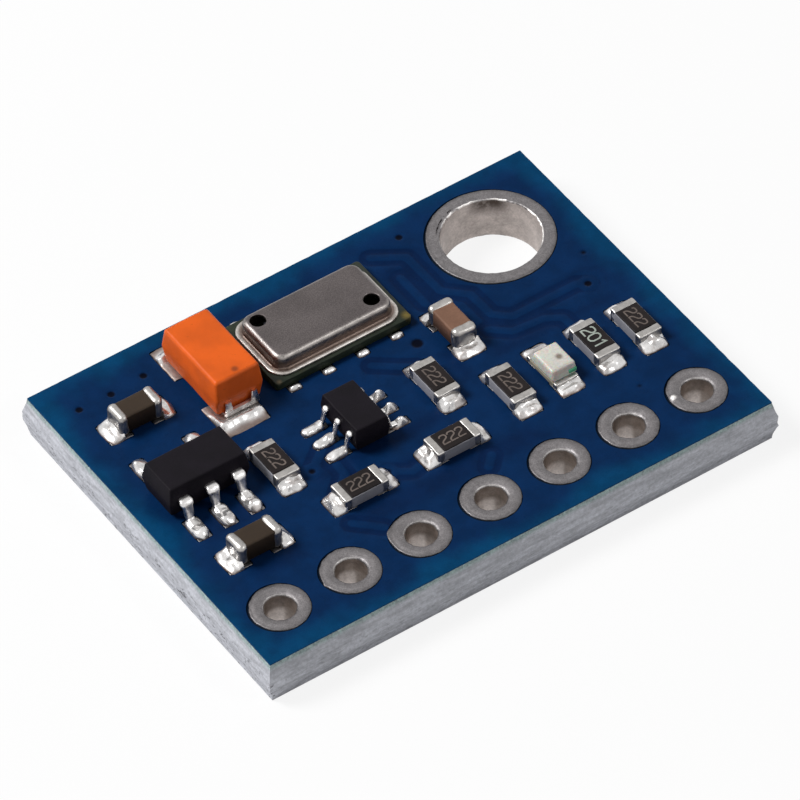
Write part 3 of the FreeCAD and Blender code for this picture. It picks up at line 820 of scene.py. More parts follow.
def area_depth(points, outline):
    """How deep each point lies inside an outline; outside it is negative."""
    distance = line_distance(points, outline, True)
    return np.where(within(points, outline), distance, -distance)


def rounded_line(corners, radius, steps=4):
    """A line in two directions whose inner corners are rounded."""
    corners = [np.array(c, float) for c in corners]
    line = [corners[0]]
    for before, corner, after in zip(corners, corners[1:], corners[2:]):
        start = corner + (before - corner) / np.linalg.norm(before - corner) * radius
        end = corner + (after - corner) / np.linalg.norm(after - corner) * radius
        for k in range(steps + 1):
            t = k / steps
            line.append((1 - t) ** 2 * start + 2 * t * (1 - t) * corner + t ** 2 * end)
    return line + [corners[-1]]


def strip(line, widths, thickness, rounding):
    """A bent metal strip that follows a line in x and z, its width changing along it."""
    rings = []
    line = [np.array(p) for p in line]
    for k, point in enumerate(line):
        run = line[min(k + 1, len(line) - 1)] - line[max(k - 1, 0)]
        run = run / np.linalg.norm(run)
        up = np.array((-run[1], run[0]))
        share = k / (len(line) - 1)
        width = float(np.interp(share, np.linspace(0, 1, len(widths)), widths))
        section = ring(width / 2, thickness / 2, rounding, 0, 3, 2)
        rings.append([(point[0] + up[0] * v, u, point[1] + up[1] * v) for u, v, _ in section])
    return capped(rings)


def heap(x_low, x_high, half_width, height_at, seed,
         steps=(26, 22), outer=0.2, inner=0.0, lumpy=1.0):
    """A closed heap of solder on z = 0, as high as height_at(along, across) says."""
    lumps = bpy.context.scene.module_sizes.solder_lumps * lumpy
    columns, rows = steps
    top = []
    for i in range(columns + 1):
        along = i / columns
        for j in range(rows + 1):
            across = 2 * j / rows - 1
            round_off = outer * along ** 6 - inner * (1 - along) ** 6
            x = x_low + (x_high - x_low) * (along - round_off * 0.5 * abs(across) ** 3)
            y = half_width * across * (1 - outer * along ** 8 - inner * (1 - along) ** 8)
            top.append([x, y, height_at(along, across)])
    top = np.array(top)
    broad = random_at(top * (1, 1, 0.2), 0.33, seed)
    fine = random_at(top * (1, 1, 0.2), 0.16, seed + 3)
    top[:, 2] *= 1 + lumps * (1.7 * broad + 0.35 * fine)
    top[:, 0] += 0.045 * broad
    top[:, 1] += 0.02 * fine
    top[:, 2] = np.maximum(top[:, 2], 0.006)
    faces = []
    for i in range(columns):
        for j in range(rows):
            first = i * (rows + 1) + j
            faces.append((first, first + rows + 1, first + rows + 2, first + 1))
    rim = list(range(rows + 1))
    rim += [i * (rows + 1) + rows for i in range(1, columns + 1)]
    rim += [columns * (rows + 1) + j for j in range(rows - 1, -1, -1)]
    rim += [i * (rows + 1) for i in range(columns - 1, 0, -1)]
    foot = len(top)
    low = top[rim].copy()
    low[:, 2] = -0.02
    count = len(rim)
    for k in range(count):
        beside = (k + 1) % count
        faces.append((rim[k], rim[beside], foot + beside, foot + k))
    faces.append(tuple(range(foot, foot + count)))
    return np.vstack([top, low]), faces


def climbing(height, power=1.9):
    """Solder that climbs a chip's end and runs out hollow over its land."""
    rest = 0.2

    def at(along, across):
        side = max(0.0, 1 - abs(across) ** 4) ** 0.5
        swell = 0.09 * math.exp(-((along - 0.62) / 0.22) ** 2) * (1 - across ** 2)
        run = (1 - rest) * (1 - along) ** power + rest * (1 - along ** 9) ** 0.5
        return (height * run + swell) * (0.12 + 0.88 * side) if along < 1 else 0.0
    return at


def heaped(height):
    """Solder heaped over a lead's foot."""
    def at(along, across):
        side = max(0.0, 1 - abs(across) ** 3) ** 0.6
        return height * max(0.0, math.sin(math.pi * along)) ** 0.55 * side
    return at


def barred(height):
    """Solder drawn out along a narrow foot, sloping down to its toe."""
    def at(along, across):
        side = max(0.0, 1 - abs(across) ** 2.6) ** 0.5
        ends = max(0.0, 1 - abs(2 * along - 1) ** 8) ** 0.5
        return height * side * ends * (1.35 - 0.75 * along)
    return at


def peaked(height, peak):
    """Solder drawn up to a blunt point."""
    def at(along, across):
        ends = max(0.0, 1 - abs(2 * along - 1) ** 6) ** 0.5
        side = max(0.0, 1 - abs(across) ** 1.7)
        return height * math.exp(-((along - peak) / 0.34) ** 2) * side * ends
    return at


def two_lumps(height):
    """Solder over a lead's foot: a lump at the lead's bend, a dip, and a lump at its toe."""
    def at(along, across):
        side = max(0.0, 1 - abs(across) ** 2.6) ** 0.5
        bend = 0.8 * math.exp(-((along - 0.22) / 0.24) ** 2)
        run = bend + math.exp(-((along - 0.70) / 0.23) ** 2)
        ends = max(0.0, 1 - abs(2 * along - 1) ** 6) ** 0.5
        return height * (0.25 + 0.75 * min(1.0, run)) * side * ends
    return at


def turned(shape, degrees):
    """A shape turned about the upright line through the origin."""
    points, faces = shape
    cos, sin = math.cos(math.radians(degrees)), math.sin(math.radians(degrees))
    return np.asarray(points) @ np.array(((cos, sin, 0), (-sin, cos, 0), (0, 0, 1))), faces


def shifted(shape, x, y):
    points, faces = shape
    return np.asarray(points, float) + (x, y, 0), faces


def lathe(profile, x, y, count, burr, seed):
    """A ring turned from its closed profile of radius and height, with a little unevenness."""
    rings = []
    for k in range(count):
        angle = 2 * math.pi * k / count
        rings.append([(radius * math.cos(angle), radius * math.sin(angle), z)
                      for radius, z in profile])
    points, faces = band(rings + [rings[0]])
    push = random_at(points, 0.16, seed)
    out = points * (1, 1, 0)
    out = out / np.linalg.norm(out, axis=1)[:, None]
    points = points + out * (push * burr)[:, None]
    points[:, 2] += 0.35 * burr * random_at(points, 0.2, seed + 5) * (points[:, 2] > 1.0)
    return points + (x, y, 0), faces


# Copper under the mask, as the mask shows it: thin traces, and the zones with no copper, two of
# them also painted shadow
traces = [
    [(2.71, 5.56), (3.63, 4.95), (3.66, 3.12), (4.33, 2.45), (4.36, 1.36), (4.85, 0.90),
     (7.25, 0.90), (7.53, 0.69)],
    [(2.98, 4.30), (2.98, 2.90)],
    [(3.93, 0.87), (4.48, 0.38), (5.58, 0.26), (6.07, -0.05), (6.10, -0.70)],
    [(0.16, 1.70), (0.83, 1.16), (1.22, 0.90)],
    [(-4.00, -3.40), (-3.30, -4.10)],
    [(1.01, -3.53), (0.65, -3.90)],
    [(-3.02, -1.10), (-3.05, -1.60), (-3.80, -2.30)],
    [(-3.78, -0.92), (-3.00, -0.30)],
    [(-1.92, -2.27), (-1.30, -2.70), (-0.90, -2.60)],
]
bare_and_shaded_zones = [
    # The first two zones, right of the sensor, are dark partly for want of copper and partly as
    # painted shadow
    [(2.40, 2.90), (3.30, 2.90), (3.30, 5.00), (2.40, 5.00)],
    [(3.90, 2.60), (4.30, 2.60), (4.30, 5.20), (3.90, 5.20)],
    [(-3.90, -1.60), (1.00, -1.60), (1.00, -0.90), (-3.90, -0.90)],
    [(-2.00, -3.00), (-0.90, -3.00), (-0.90, -2.00), (-2.00, -2.00)],
    [(-3.80, -4.00), (3.20, -4.00), (2.60, -3.10), (1.00, -3.00), (-3.80, -3.00)],
    [(2.00, -0.60), (2.60, -0.60), (2.60, 1.00), (2.00, 1.00)],
    [(-7.60, -3.80), (-5.70, -3.80), (-5.70, -3.10), (-7.60, -3.10)],
    [(3.40, -0.40), (8.00, -0.40), (8.00, 0.00), (3.40, 0.25)],
    [(-8.00, -0.60), (-5.60, -0.60), (-5.60, -1.70), (-8.00, -1.70)],
    [(4.75, 1.25), (5.00, 1.20), (7.75, 1.20), (8.15, 0.95), (8.00, 0.45), (8.25, 0.50),
     (8.35, 1.00), (7.85, 1.40), (5.10, 1.40), (4.80, 1.70), (4.78, 2.30), (4.62, 2.30)],
]
# Small vias: x, y, how plainly each shows through the mask, and how wide its dip is
small_vias = [
    (-8.11, 5.39, 1.0, 1.0), (-6.97, 5.37, 1.0, 1.0), (-5.74, 5.45, 1.0, 1.0),
    (3.93, 5.79, 0.9, 1.0), (8.19, 1.89, 0.45, 1.0), (7.53, 0.70, 0.9, 1.0),
    (-3.78, -0.92, 0.7, 1.0), (-1.92, -2.27, 0.6, 1.0), (6.30, -3.80, 0.35, 1.0),
    (1.82, 1.67, 1.0, 1.6),
]
via_radius = 0.16
# Farther than anything on the board
far = 9.0


def copper_depth(points):
    """How deep each point of the mask lies over copper; in a gap beside a trace it is negative."""
    half = size_of("trace_width") / 2
    gap = size_of("trace_gap")
    depth = np.full(len(points), far)
    tracks = np.full(len(points), -far)
    for line in traces:
        away = line_distance(points, line)
        depth = np.minimum(depth, away - half - gap)
        tracks = np.maximum(tracks, half - away)
    for x, y, _, _ in small_vias:
        away = np.linalg.norm(points - (x, y), axis=1)
        tracks = np.maximum(tracks, 2.0 * via_radius - away)
    return np.maximum(depth, tracks)


def bare_depth(points):
    """How deep each point lies in a zone with no copper, two of which are also painted shadow; over
    copper it is negative.
    """
    depth = np.full(len(points), -far)
    for zone in bare_and_shaded_zones:
        depth = np.maximum(depth, area_depth(points, zone))
    tracks = np.full(len(points), far)
    for line in traces:
        tracks = np.minimum(tracks, line_distance(points, line) - size_of("trace_width") / 2)
    return np.minimum(depth, tracks)


def ring_place(node):
    """A plated hole's middle and its ring's radius."""
    low, high = span(node)
    return (low[0] + high[0]) / 2, (low[1] + high[1]) / 2, (high[0] - low[0]) / 2


def ring_circles(x_off, y_off, clearance, level):
    """A circle round each plated hole's ring, moved and widened a little."""
    circles = []
    for node in header_nodes + ["mounting_ring"]:
        x, y, radius = ring_place(node)
        count = 110 if node == "mounting_ring" else 56
        circles.append(circle(x + x_off, y + y_off, radius + clearance, level, count))
    return circles


def land_boxes():
    """The lands of all parts: lowest x and y, highest x and y."""
    boxes = []

    def add(place, inner, outer, half_width, steps=(0,), pitch=0.0, turns=(0, 180)):
        """Lands from inner to outer on each side that turns names, one for each step."""
        x, y, turn = place
        for quarter in turns:
            for step in steps:
                corners = [(inner, -half_width, 0), (outer, half_width, 0)]
                corners, _ = turned((corners, []), quarter)
                corners, _ = turned((corners + np.array((step * pitch, 0, 0)), []), turn)
                xs, ys = corners[:, 0] + x, corners[:, 1] + y
                boxes.append((xs.min(), ys.min(), xs.max(), ys.max()))

    chip_inner = 0.38
    chip_outer = chip_half_length + size_of("land_toe") - 0.03
    for node in resistor_nodes:
        add(place_of(node + "_substrate"), chip_inner, chip_outer, 0.40)
    for node in capacitor_nodes:
        add(place_of(node + "_ceramic"), chip_inner, chip_outer, 0.46)
    add(place_of("led_base"), chip_inner, chip_outer, 0.40)
    add(tantalum_land_place, 0.765, 2.205, 0.77)
    sensor = place_of("sensor_substrate")
    add(sensor, 1.2, 1.79, 0.20, contact_steps, contact_pitch, (-90,))
    add(sensor, 1.2, 1.66, 0.20, contact_steps, contact_pitch, (90,))
    regulator = place_of("regulator_body")
    add(regulator, 1.0, 1.95, 0.24, three_leads, regulator_pitch, (-90,))
    add(regulator, 1.0, 1.95, 0.24, two_leads, regulator_pitch, (90,))
    add(place_of("level_shifter_body"), 0.65, 1.49, 0.145, three_leads, shifter_pitch, (-90, 90))
    return boxes


def mask_openings(level):
    """The outlines of the mask's openings round every ring and land."""
    clearance, corner = 0.04, 0.09
    # Moved towards the front left, so that the near black laminate face, painted shade, shows
    # widest there
    loops = ring_circles(-0.045, -0.02, clearance, level)
    for x_low, y_low, x_high, y_high in land_boxes():
        half_x, half_y = (x_high - x_low) / 2 + clearance, (y_high - y_low) / 2 + clearance
        x, y = (x_low + x_high) / 2, (y_low + y_high) / 2
        loop = ring(half_x, half_y, corner, level, 3, 4)
        loops.append([(px + x, py + y, pz) for px, py, pz in loop])
    return loops


def board_outline(level, step, wobble=0.008, inset=0.0):
    """The mask's outer edge, broken a little by the scoring."""
    (x_low, y_low), (x_high, y_high) = board_low[:2] + inset, board_high[:2] - inset
    corners = [(x_low, y_low), (x_high, y_low), (x_high, y_high), (x_low, y_high)]
    points = []
    for (x1, y1), (x2, y2) in zip(corners, corners[1:] + corners[:1]):
        count = round(math.dist((x1, y1), (x2, y2)) / step)
        for k in range(count):
            x, y = x1 + (x2 - x1) * k / count, y1 + (y2 - y1) * k / count
            broken = max(0.0, noise.noise(Vector((x * 3, y * 3, 2.2)))) * 2 * wobble
            points.append((x - math.copysign(broken, x), y - math.copysign(broken, y), level))
    return points


def edge_distance(flat):
    """How far each point lies inside the board's edge."""
    return np.minimum(flat - board_low[:2], board_high[:2] - flat).min(axis=1)


def clear_of(points, outline, from_edge, loops, from_loops):
    """Which points lie inside an outline and outside loops, with room to both."""
    free = area_depth(points, outline) > from_edge
    for loop in loops:
        free &= (line_distance(points, loop, True) > from_loops) & ~within(points, loop)
    return free


def slab(top, foot, faces):
    """A sheet with a flat underside at the foot's height, closed along its open edges."""
    count = len(top)
    bottom = top.copy()
    bottom[:, 2] = foot
    edges = [(a, b) for face in faces for a, b in zip(face, face[1:] + face[:1])]
    known = set(edges)
    walls = [(a, a + count, b + count, b) for a, b in edges if (b, a) not in known]
    under = [tuple(i + count for i in face[::-1]) for face in faces]
    return np.vstack([top, bottom]), faces + walls + under


def make_mask():
    """The blue film on top: open round every ring and land, and raised over the copper."""
    outline = board_outline(board_top, 0.1)
    openings = mask_openings(board_top)
    grid = size_of("mask_grid")
    xs = np.arange(board_low[0] + grid, board_high[0] - grid / 2, grid)
    ys = np.arange(board_low[1] + grid, board_high[1] - grid / 2, grid * 0.866)
    inside = np.array([(x + (row % 2) * grid / 2, y) for row, y in enumerate(ys) for x in xs])
    free = clear_of(inside, outline, grid * 0.55, openings, grid * 0.45)
    round_vias = []
    for x, y, _, _ in small_vias:
        round_vias.append((x, y))
        for radius in (0.05, 0.09, 0.13, 0.17, 0.22, 0.27):
            round_vias += [(px, py) for px, py, _ in circle(x, y, radius, 0, 12)]
    points, faces = sheet(outline, openings, list(inside[free]) + round_vias)
    flat = points[:, :2]
    copper = copper_depth(flat)
    bank, via_depth = 0.06, 0.035
    share = np.clip((copper + bank) / (2 * bank), 0, 1)
    rise = share * share * (3 - 2 * share)
    points[:, 2] = board_top - size_of("trace_relief") * (1 - rise)
    via = np.zeros(len(points))
    for x, y, shows, wide in small_vias:
        away = np.linalg.norm(flat - (x, y), axis=1)
        via = np.maximum(via, shows * np.clip(1 - away / (via_radius * wide), 0, 1))
    points[:, 2] -= via_depth * np.clip(via * 2.0, 0, 1)
    used = sorted({index for face in faces for index in face})
    new_index = {index: k for k, index in enumerate(used)}
    faces = [tuple(new_index[i] for i in face) for face in faces]
    marks = {"copper": copper, "edge": edge_distance(flat), "via": via, "bare": bare_depth(flat)}
    marks = {mark: np.tile(values[used], 2) for mark, values in marks.items()}
    piece("mask_top", Form().add(slab(points[used], mask_foot, faces)), "mask",
          ["solder_mask_top"], 50, False, marks)


def make_underside():
    """The blue film on the underside, open round the rings."""
    low, high = span("solder_mask_bottom")
    outline = board_outline(high[2], 0.2, inset=0.07)
    holes = ring_circles(0, 0, 0.05, high[2])
    grid = np.array([(x, y) for x in np.arange(-8.9, 8.91, 0.4)
                     for y in np.arange(-6.5, 6.51, 0.4)])
    free = clear_of(grid, outline, 0.1, holes, 0.1)
    points, faces = sheet(outline, holes, list(grid[free]))
    edge = edge_distance(points[:, :2])
    marks = {"copper": edge - 0.25, "edge": edge, "via": np.zeros(len(edge)), "bare": -edge}
    marks = {mark: np.tile(values, 2) for mark, values in marks.items()}
    piece("mask_underside", Form().add(slab(points, low[2], faces)), "mask",
          ["solder_mask_bottom"], 50, False, marks)


def make_core():
    """The board's glass fibre core with its scored and broken edges."""
    low, high = span("board_laminate")
    bulge = board_low[0] - low[0]
    rough = size_of("edge_roughness")
    foot, flank = 0.012, 0.55
    levels = [foot, low[2], 0.2, 0.34, 0.48, 0.6, 0.68, 0.75, 0.82, 0.9, 1.0, 1.12, 1.26, 1.4,
              high[2]]
    outline = board_outline(0, 0.09, 0.0)
    rings = []
    for z in levels:
        share = min(1.0, (z - low[2]) / flank, (high[2] - z) / flank)
        out = bulge * max(0.0, share)
        one = []
        for x, y, _ in outline:
            web = noise.noise(Vector((x * 2.2, y * 2.2, z * 6)))
            web += 0.6 * noise.noise(Vector((x * 7, y * 7, z * 11)))
            push = min(out - rough * (0.5 + 0.75 * web) if 0 < share else 0.0, out)
            on_x = 1.0 if abs(abs(x) - board_high[0]) < 1e-6 else 0.0
            on_y = 1.0 if abs(abs(y) - board_high[1]) < 1e-6 else 0.0
            one.append((x + math.copysign(push * on_x, x), y + math.copysign(push * on_y, y), z))
        rings.append(one)
    form = Form().add(band(rings))
    holes = []
    for node in header_nodes + ["mounting_ring"]:
        x, y, _ = ring_place(node)
        bore, count = (mounting_bore, 80) if node == "mounting_ring" else (header_bore, 32)
        holes.append((x, y, bore + plating, count))
    for level, one in ((foot, rings[0]), (high[2], rings[-1])):
        form.add(sheet(one, [circle(x, y, radius, level, count) for x, y, radius, count in holes]))
    for x, y, radius, count in holes:
        form.add(band([circle(x, y, radius, level, count) for level in (foot, high[2])]))
    # The flat top and bottom faces are painted near black: painted shade where they show in the
    # gaps round rings and lands
    piece("board_core", form, "laminate", ["board_laminate"], 60,
          second=("under_mask", lambda centre, normal: abs(normal.z) > 0.9))


def make_lands():
    """The tinned copper lands under all parts."""
    form = Form()
    for x_low, y_low, x_high, y_high in land_boxes():
        land = rounded_block((x_low, y_low, mask_foot), (x_high, y_high, land_top), 0.016, 2, 0.3)
        form.add(land)
    piece("part_lands", form, "land", ["component_lands"])


def ring_profile(hole, outer, low, high, mouth_round, rim_round, dome):
    """A plated hole's section: two rings, rounded at mouth and rim, on a barrel."""
    quarter = np.linspace(0, math.pi / 2, 6)
    drop = 0.8
    mouth = [(hole + mouth_round * (1 - math.cos(t)), high - mouth_round * drop * (1 - math.sin(t)))
             for t in quarter]
    flat = outer - hole - mouth_round - rim_round
    crown = [(hole + mouth_round + flat * share, high + dome * math.sin(math.pi * share))
             for share in (0.2, 0.4, 0.6, 0.8)]
    rim_drop = min(rim_round, high - mask_foot) * drop
    rim = [(outer - rim_round * (1 - math.sin(t)), high - rim_drop * (1 - math.cos(t)))
           for t in quarter]
    upper = mouth + crown + rim + [(outer, mask_foot), (hole + plating, mask_foot)]
    lower = [(radius, low + high - max(z, mask_foot) if z <= high else low)
             for radius, z in reversed(upper)]
    inside = [(hole, z) for z in np.linspace(low + mouth_round, high - mouth_round, 9)[1:-1]]
    return upper + lower + inside


def facing(points, x, y, towards, spread):
    """How near each point's side of a ring is to a direction: 1 there, and 0 well away from it."""
    swing = np.arctan2(points[:, 1] - y, points[:, 0] - x) - towards
    swing = (swing + math.pi) % (2 * math.pi) - math.pi
    return np.exp(-(swing / spread) ** 2)


def ring_piece(name, node, shape, place, bore, barrel, marks):
    """A plated hole as one piece, its barrel in a finish of its own and its marks on its points.

    The barrel is what lies within its radius and between its two heights.
    """
    x, y, radius = place
    points, _ = shape
    look, barrel_radius, barrel_low, barrel_high = barrel
    away = np.linalg.norm(points[:, :2] - (x, y), axis=1)
    all_marks = {"inward": (radius - away) / (radius - bore)}
    for mark in ("broken", "jagged", "pale", "spark"):
        all_marks[mark] = marks.get(mark, 0.0) * np.ones(len(points))

    def in_barrel(at, _):
        return math.dist(at[:2], (x, y)) < barrel_radius and barrel_low < at[2] < barrel_high

    piece(name, Form().add(shape), "ring_tin", [node], 60, marks=all_marks,
          second=(look, in_barrel))


def make_header():
    """The seven plated header holes with their domed tin rings."""
    # Burrs on two of the rings: direction, reach and spread
    burrs = {2: (3.2, 0.05, 0.13), 3: (2.55, 0.10, 0.28)}
    glint_bump = 7
    for number, node in enumerate(header_nodes, start=1):
        x, y, radius = ring_place(node)
        low, high = span(node)
        profile = ring_profile(header_bore, radius, low[2], high[2], 0.12, 0.07, 0.02)
        points, faces = lathe(profile, x, y, 84, 0.02, number)
        if number in burrs:
            towards, reach, spread = burrs[number]
            out = points[:, :2] - (x, y)
            away = np.linalg.norm(out, axis=1)
            push = reach * facing(points, x, y, towards, spread) * np.clip((away - 0.7) / 0.2, 0, 1)
            points[:, :2] += out / away[:, None] * push[:, None]
        # How much painted highlight the mouth takes, more towards the back, and which side of the
        # barrel is painted lit from below
        marks = {"broken": np.clip(0.15 + 0.5 * (points[:, 1] - y), 0, 0.35),
                 "pale": facing(points, x, y, 1.35, 0.75)}
        if number == glint_bump:
            # This ring has a small raised bump, with a painted glint on it
            away = np.linalg.norm(points[:, :2] - (x - 0.80, y + 0.12), axis=1)
            bump = np.exp(-(away / 0.10) ** 2)
            points[:, 2] += 0.05 * bump * (points[:, 2] > 1.5)
            marks["spark"] = np.clip(2 * bump - 0.5, 0, 1)
        ring_piece("header_ring_%d" % number, node, (points, faces), (x, y, radius), header_bore,
                   ("barrel", header_bore + 0.022, 0.1, 1.46), marks)


def make_mounting_ring():
    """The large plated hole with its bare metal ring, its mouth broken towards the back and painted
    with a highlight along it.
    """
    node = "mounting_ring"
    x, y, radius = ring_place(node)
    low, high = span(node)
    profile = ring_profile(mounting_bore, radius, low[2], high[2], 0.06, 0.06, 0.006)
    points, faces = lathe(profile, x, y, 240, 0.012, 11)
    out = points[:, :2] - (x, y)
    away = np.linalg.norm(out, axis=1)
    # Painted highlight along the back of the mouth, weaker in two places; the mouth is also made
    # ragged under it
    worn = np.clip((out[:, 1] + 0.7 * out[:, 0] + 0.9) / 0.9, 0, 1)
    worn *= 1 - 0.8 * facing(points, x, y, 1.15, 0.2) - 0.75 * facing(points, x, y, 2.5, 0.4)
    mouth = np.clip(1 - np.abs(away - mounting_bore - 0.03) / 0.07, 0, 1)
    ragged = 0.05 * mouth * (points[:, 2] > 1.5) * worn
    points[:, 2] += ragged * (0.4 + random_at(points, 0.13, 31))
    points[:, :2] -= out / away[:, None] * (ragged * (0.3 + random_at(points, 0.17, 37)))[:, None]
    ring_piece("mounting_hole_ring", node, (points, faces), (x, y, radius), mounting_bore,
               ("ring_barrel", mounting_bore + 0.03, 0.06, 1.545),
               {"broken": worn, "jagged": facing(points, x, y, 2.12, 0.4)})


# Strokes of the value digits, in a box 0.6 wide and 1 high
digit_strokes = {
    "2": [(0.02, 0.80), (0.06, 0.93), (0.18, 1.0), (0.42, 1.0), (0.55, 0.94), (0.6, 0.82),
          (0.6, 0.68), (0.52, 0.56), (0.14, 0.36), (0.04, 0.26), (0.0, 0.14), (0.0, 0.0),
          (0.62, 0.0)],
    "0": [(0.3, 1.0), (0.12, 0.94), (0.0, 0.74), (0.0, 0.26), (0.12, 0.06), (0.3, 0.0),
          (0.48, 0.06), (0.6, 0.26), (0.6, 0.74), (0.48, 0.94), (0.3, 1.0)],
    "1": [(0.1, 0.78), (0.36, 1.0), (0.36, 0.0)],
}
# A resistor's value, how high and how far apart its digits are, and their look
resistor_values = {number: ("222", 0.37, 0.285, "digits") for number in range(1, 8)}
resistor_values[6] = ("201", 0.42, 0.31, "bright_digits")


def stroke(line, thickness, depth):
    """A flat raised stroke along a line."""
    line = [np.array(p, float) for p in line]
    rings = []
    for k, point in enumerate(line):
        before, after = line[max(k - 1, 0)], line[min(k + 1, len(line) - 1)]
        first = point - before if k else after - point
        second = after - point if k < len(line) - 1 else point - before
        n1 = np.array((-first[1], first[0])) / np.linalg.norm(first)
        n2 = np.array((-second[1], second[0])) / np.linalg.norm(second)
        mitre = n1 + n2
        mitre = mitre / max(np.linalg.norm(mitre), 0.3)
        reach = thickness / 2 / max(mitre @ n1, 0.45)
        left, right = point + mitre * reach, point - mitre * reach
        rings.append([(*left, 0), (*right, 0), (*right, depth), (*left, depth)])
    return capped(rings)


def code(text, height, pitch):
    """Digits side by side, centred on the origin, reading along x."""
    form = Form()
    total = pitch * (len(text) - 1) + 0.6 * height
    thickness, depth = 0.13 * height, 0.012
    for k, digit in enumerate(text):
        line = [(x * height, y * height) for x, y in digit_strokes[digit]]
        points, faces = stroke(line, thickness, depth)
        form.add((points + (k * pitch - total / 2, -height / 2, 0), faces))
    return np.vstack(form.points), form.faces


def both_ends(shape):
    return [shape, turned(shape, 180)]


def chip_end(band_length, height, rounding, arc_steps):
    """The metal end of a chip part, drawn at its positive end."""
    low = (chip_half_length - band_length, -chip_half_width, 0.0)
    high = (chip_half_length, chip_half_width, height)
    return rounded_block(low, high, rounding, arc_steps, 0.1)


def make_resistors():
    """The seven chip resistors: ceramic block, black glaze with its value, and metal ends."""
    ends, joints = Form(), Form()
    band_length = size_of("resistor_band")
    glaze_end = chip_half_length + 0.02 - band_length
    glaze_top = 0.456
    reach = chip_half_length + size_of("land_toe")
    for number, name in enumerate(resistor_nodes, start=1):
        place = place_of(name + "_substrate")
        block = rounded_block((-0.77, -0.42, 0.02), (0.77, 0.42, 0.42), 0.02, 2)
        form = Form().add(uneven(block, 0.25, 0.006, number), place, seat)
        piece(name + "_body", form, "ceramic", [name + "_substrate"])
        glaze = rounded_block((-glaze_end, -0.395, 0.4), (glaze_end, 0.395, 0.463), 0.03, 3, 0.1)
        form = Form().add(uneven(glaze, 0.2, 0.008, number + 20), place, seat)
        piece(name + "_glaze", form, "coat", [name + "_coat"])
        text, height, pitch, look = resistor_values[number]
        x, y, turn = place
        form = Form().add(code(text, height, pitch), (x, y, -turn), seat + glaze_top)
        piece(name + "_value", form, look, [], 30)
        for side, shape in enumerate(both_ends(chip_end(band_length, 0.45, 0.06, 4))):
            seed = number * 2 + side
            ends.add(uneven(shape, 0.3, 0.012, seed), place, seat)
            joint = heap(0.74, reach, 0.455, climbing(0.36, 1.5), seed, lumpy=1.2)
            joints.add(turned(joint, 180 * side), place, land_top)
    piece("resistor_metal_ends", ends, "terminal", ["resistor_ends"], 60)
    piece("resistor_joints", joints, "solder", ["resistor_solder"], 70)


def make_capacitors():
    """The three chip capacitors with rounded metal caps."""
    joints = Form()
    reach = chip_half_length + size_of("land_toe")
    cap = chip_end(size_of("capacitor_band"), 0.8, 0.17, 5)
    for number, (name, look) in enumerate(zip(capacitor_nodes, ("brown", "brown", "pink")), 1):
        place = place_of(name + "_ceramic")
        block = rounded_block((-0.72, -0.375, 0.05), (0.72, 0.375, 0.745), 0.07, 3)
        form = Form().add(uneven(block, 0.4, 0.01, number + 40), place, seat)
        piece(name + "_body", form, look, [name + "_ceramic"])
        caps = Form()
        for side, shape in enumerate(both_ends(cap)):
            seed = number * 2 + side
            caps.add(uneven(shape, 0.45, 0.025, seed + 50), place, seat)
            joint = heap(0.70, reach, 0.52, climbing(0.33), seed + 60, lumpy=1.3)
            joints.add(turned(joint, 180 * side), place, land_top)
        piece(name + "_caps", caps, "terminal", [name + "_ends"], 60)
    piece("capacitor_joints", joints, "solder", ["capacitor_solder"], 70)


def make_light():
    """The small light: base, metal ends, chip and milky body, with its green mark."""
    place = place_of("led_base")
    base = rounded_block((-0.77, -0.42, 0.03), (0.77, 0.42, 0.19), 0.02, 2)
    piece("light_base", Form().add(base, place, seat), "base", ["led_base"])
    ends, joints = Form(), Form()
    reach = chip_half_length - 0.01 + size_of("land_toe")
    for side, shape in enumerate(both_ends(chip_end(0.2, 0.22, 0.05, 3))):
        ends.add(uneven(shape, 0.3, 0.012, side + 70), place, seat)
        joint = heap(0.76, reach, 0.45, climbing(0.2), side + 72)
        joints.add(shifted(turned(joint, 180 * side), 0, -0.03), place, land_top)
    piece("light_metal_ends", ends, "terminal", ["led_ends"], 60)
    piece("light_joints", joints, "solder", ["led_solder"], 70)
    body = rounded_block((-0.66, -0.50, 0.19), (0.6, 0.42, 0.59), 0.09, 4)
    body = uneven(leaning(body, 0.2, 0.12, 0.03), 0.35, 0.015, 75)
    piece("light_body", Form().add(body, place, seat), "milk", ["led_lens"])
    chip = rounded_block((-0.12, -0.12, 0.22), (0.12, 0.12, 0.42), 0.02, 3, 0.05)
    form = Form().add(shifted(chip, -0.12, -0.17), place, seat)
    piece("light_chip_block", form, "chip", ["led_chip"])
    mark = rounded_block((-0.045, -0.15, 0.25), (0.045, 0.15, 0.39), 0.04, 3, 0.04)
    form = Form().add(shifted(mark, -0.605, -0.32), place, seat)
    piece("light_green_mark", form, "green", [])


def tantalum_joint(along, across):
    """Solder on a long land: thin, with a ridge by the terminal and a bank along one side."""
    if along >= 1:
        return 0.0
    ridge = 0.16 * math.exp(-((along - 0.69) / 0.105) ** 2)
    bank = 0.11 * math.exp(-((across + 0.86) / 0.12) ** 2 - ((along - 0.5) / 0.22) ** 2)
    thin = 0.045 * (1 - along ** 8) ** 0.5
    return (ridge + thin + bank) * max(0.0, 1 - abs(across) ** 8) ** 0.5


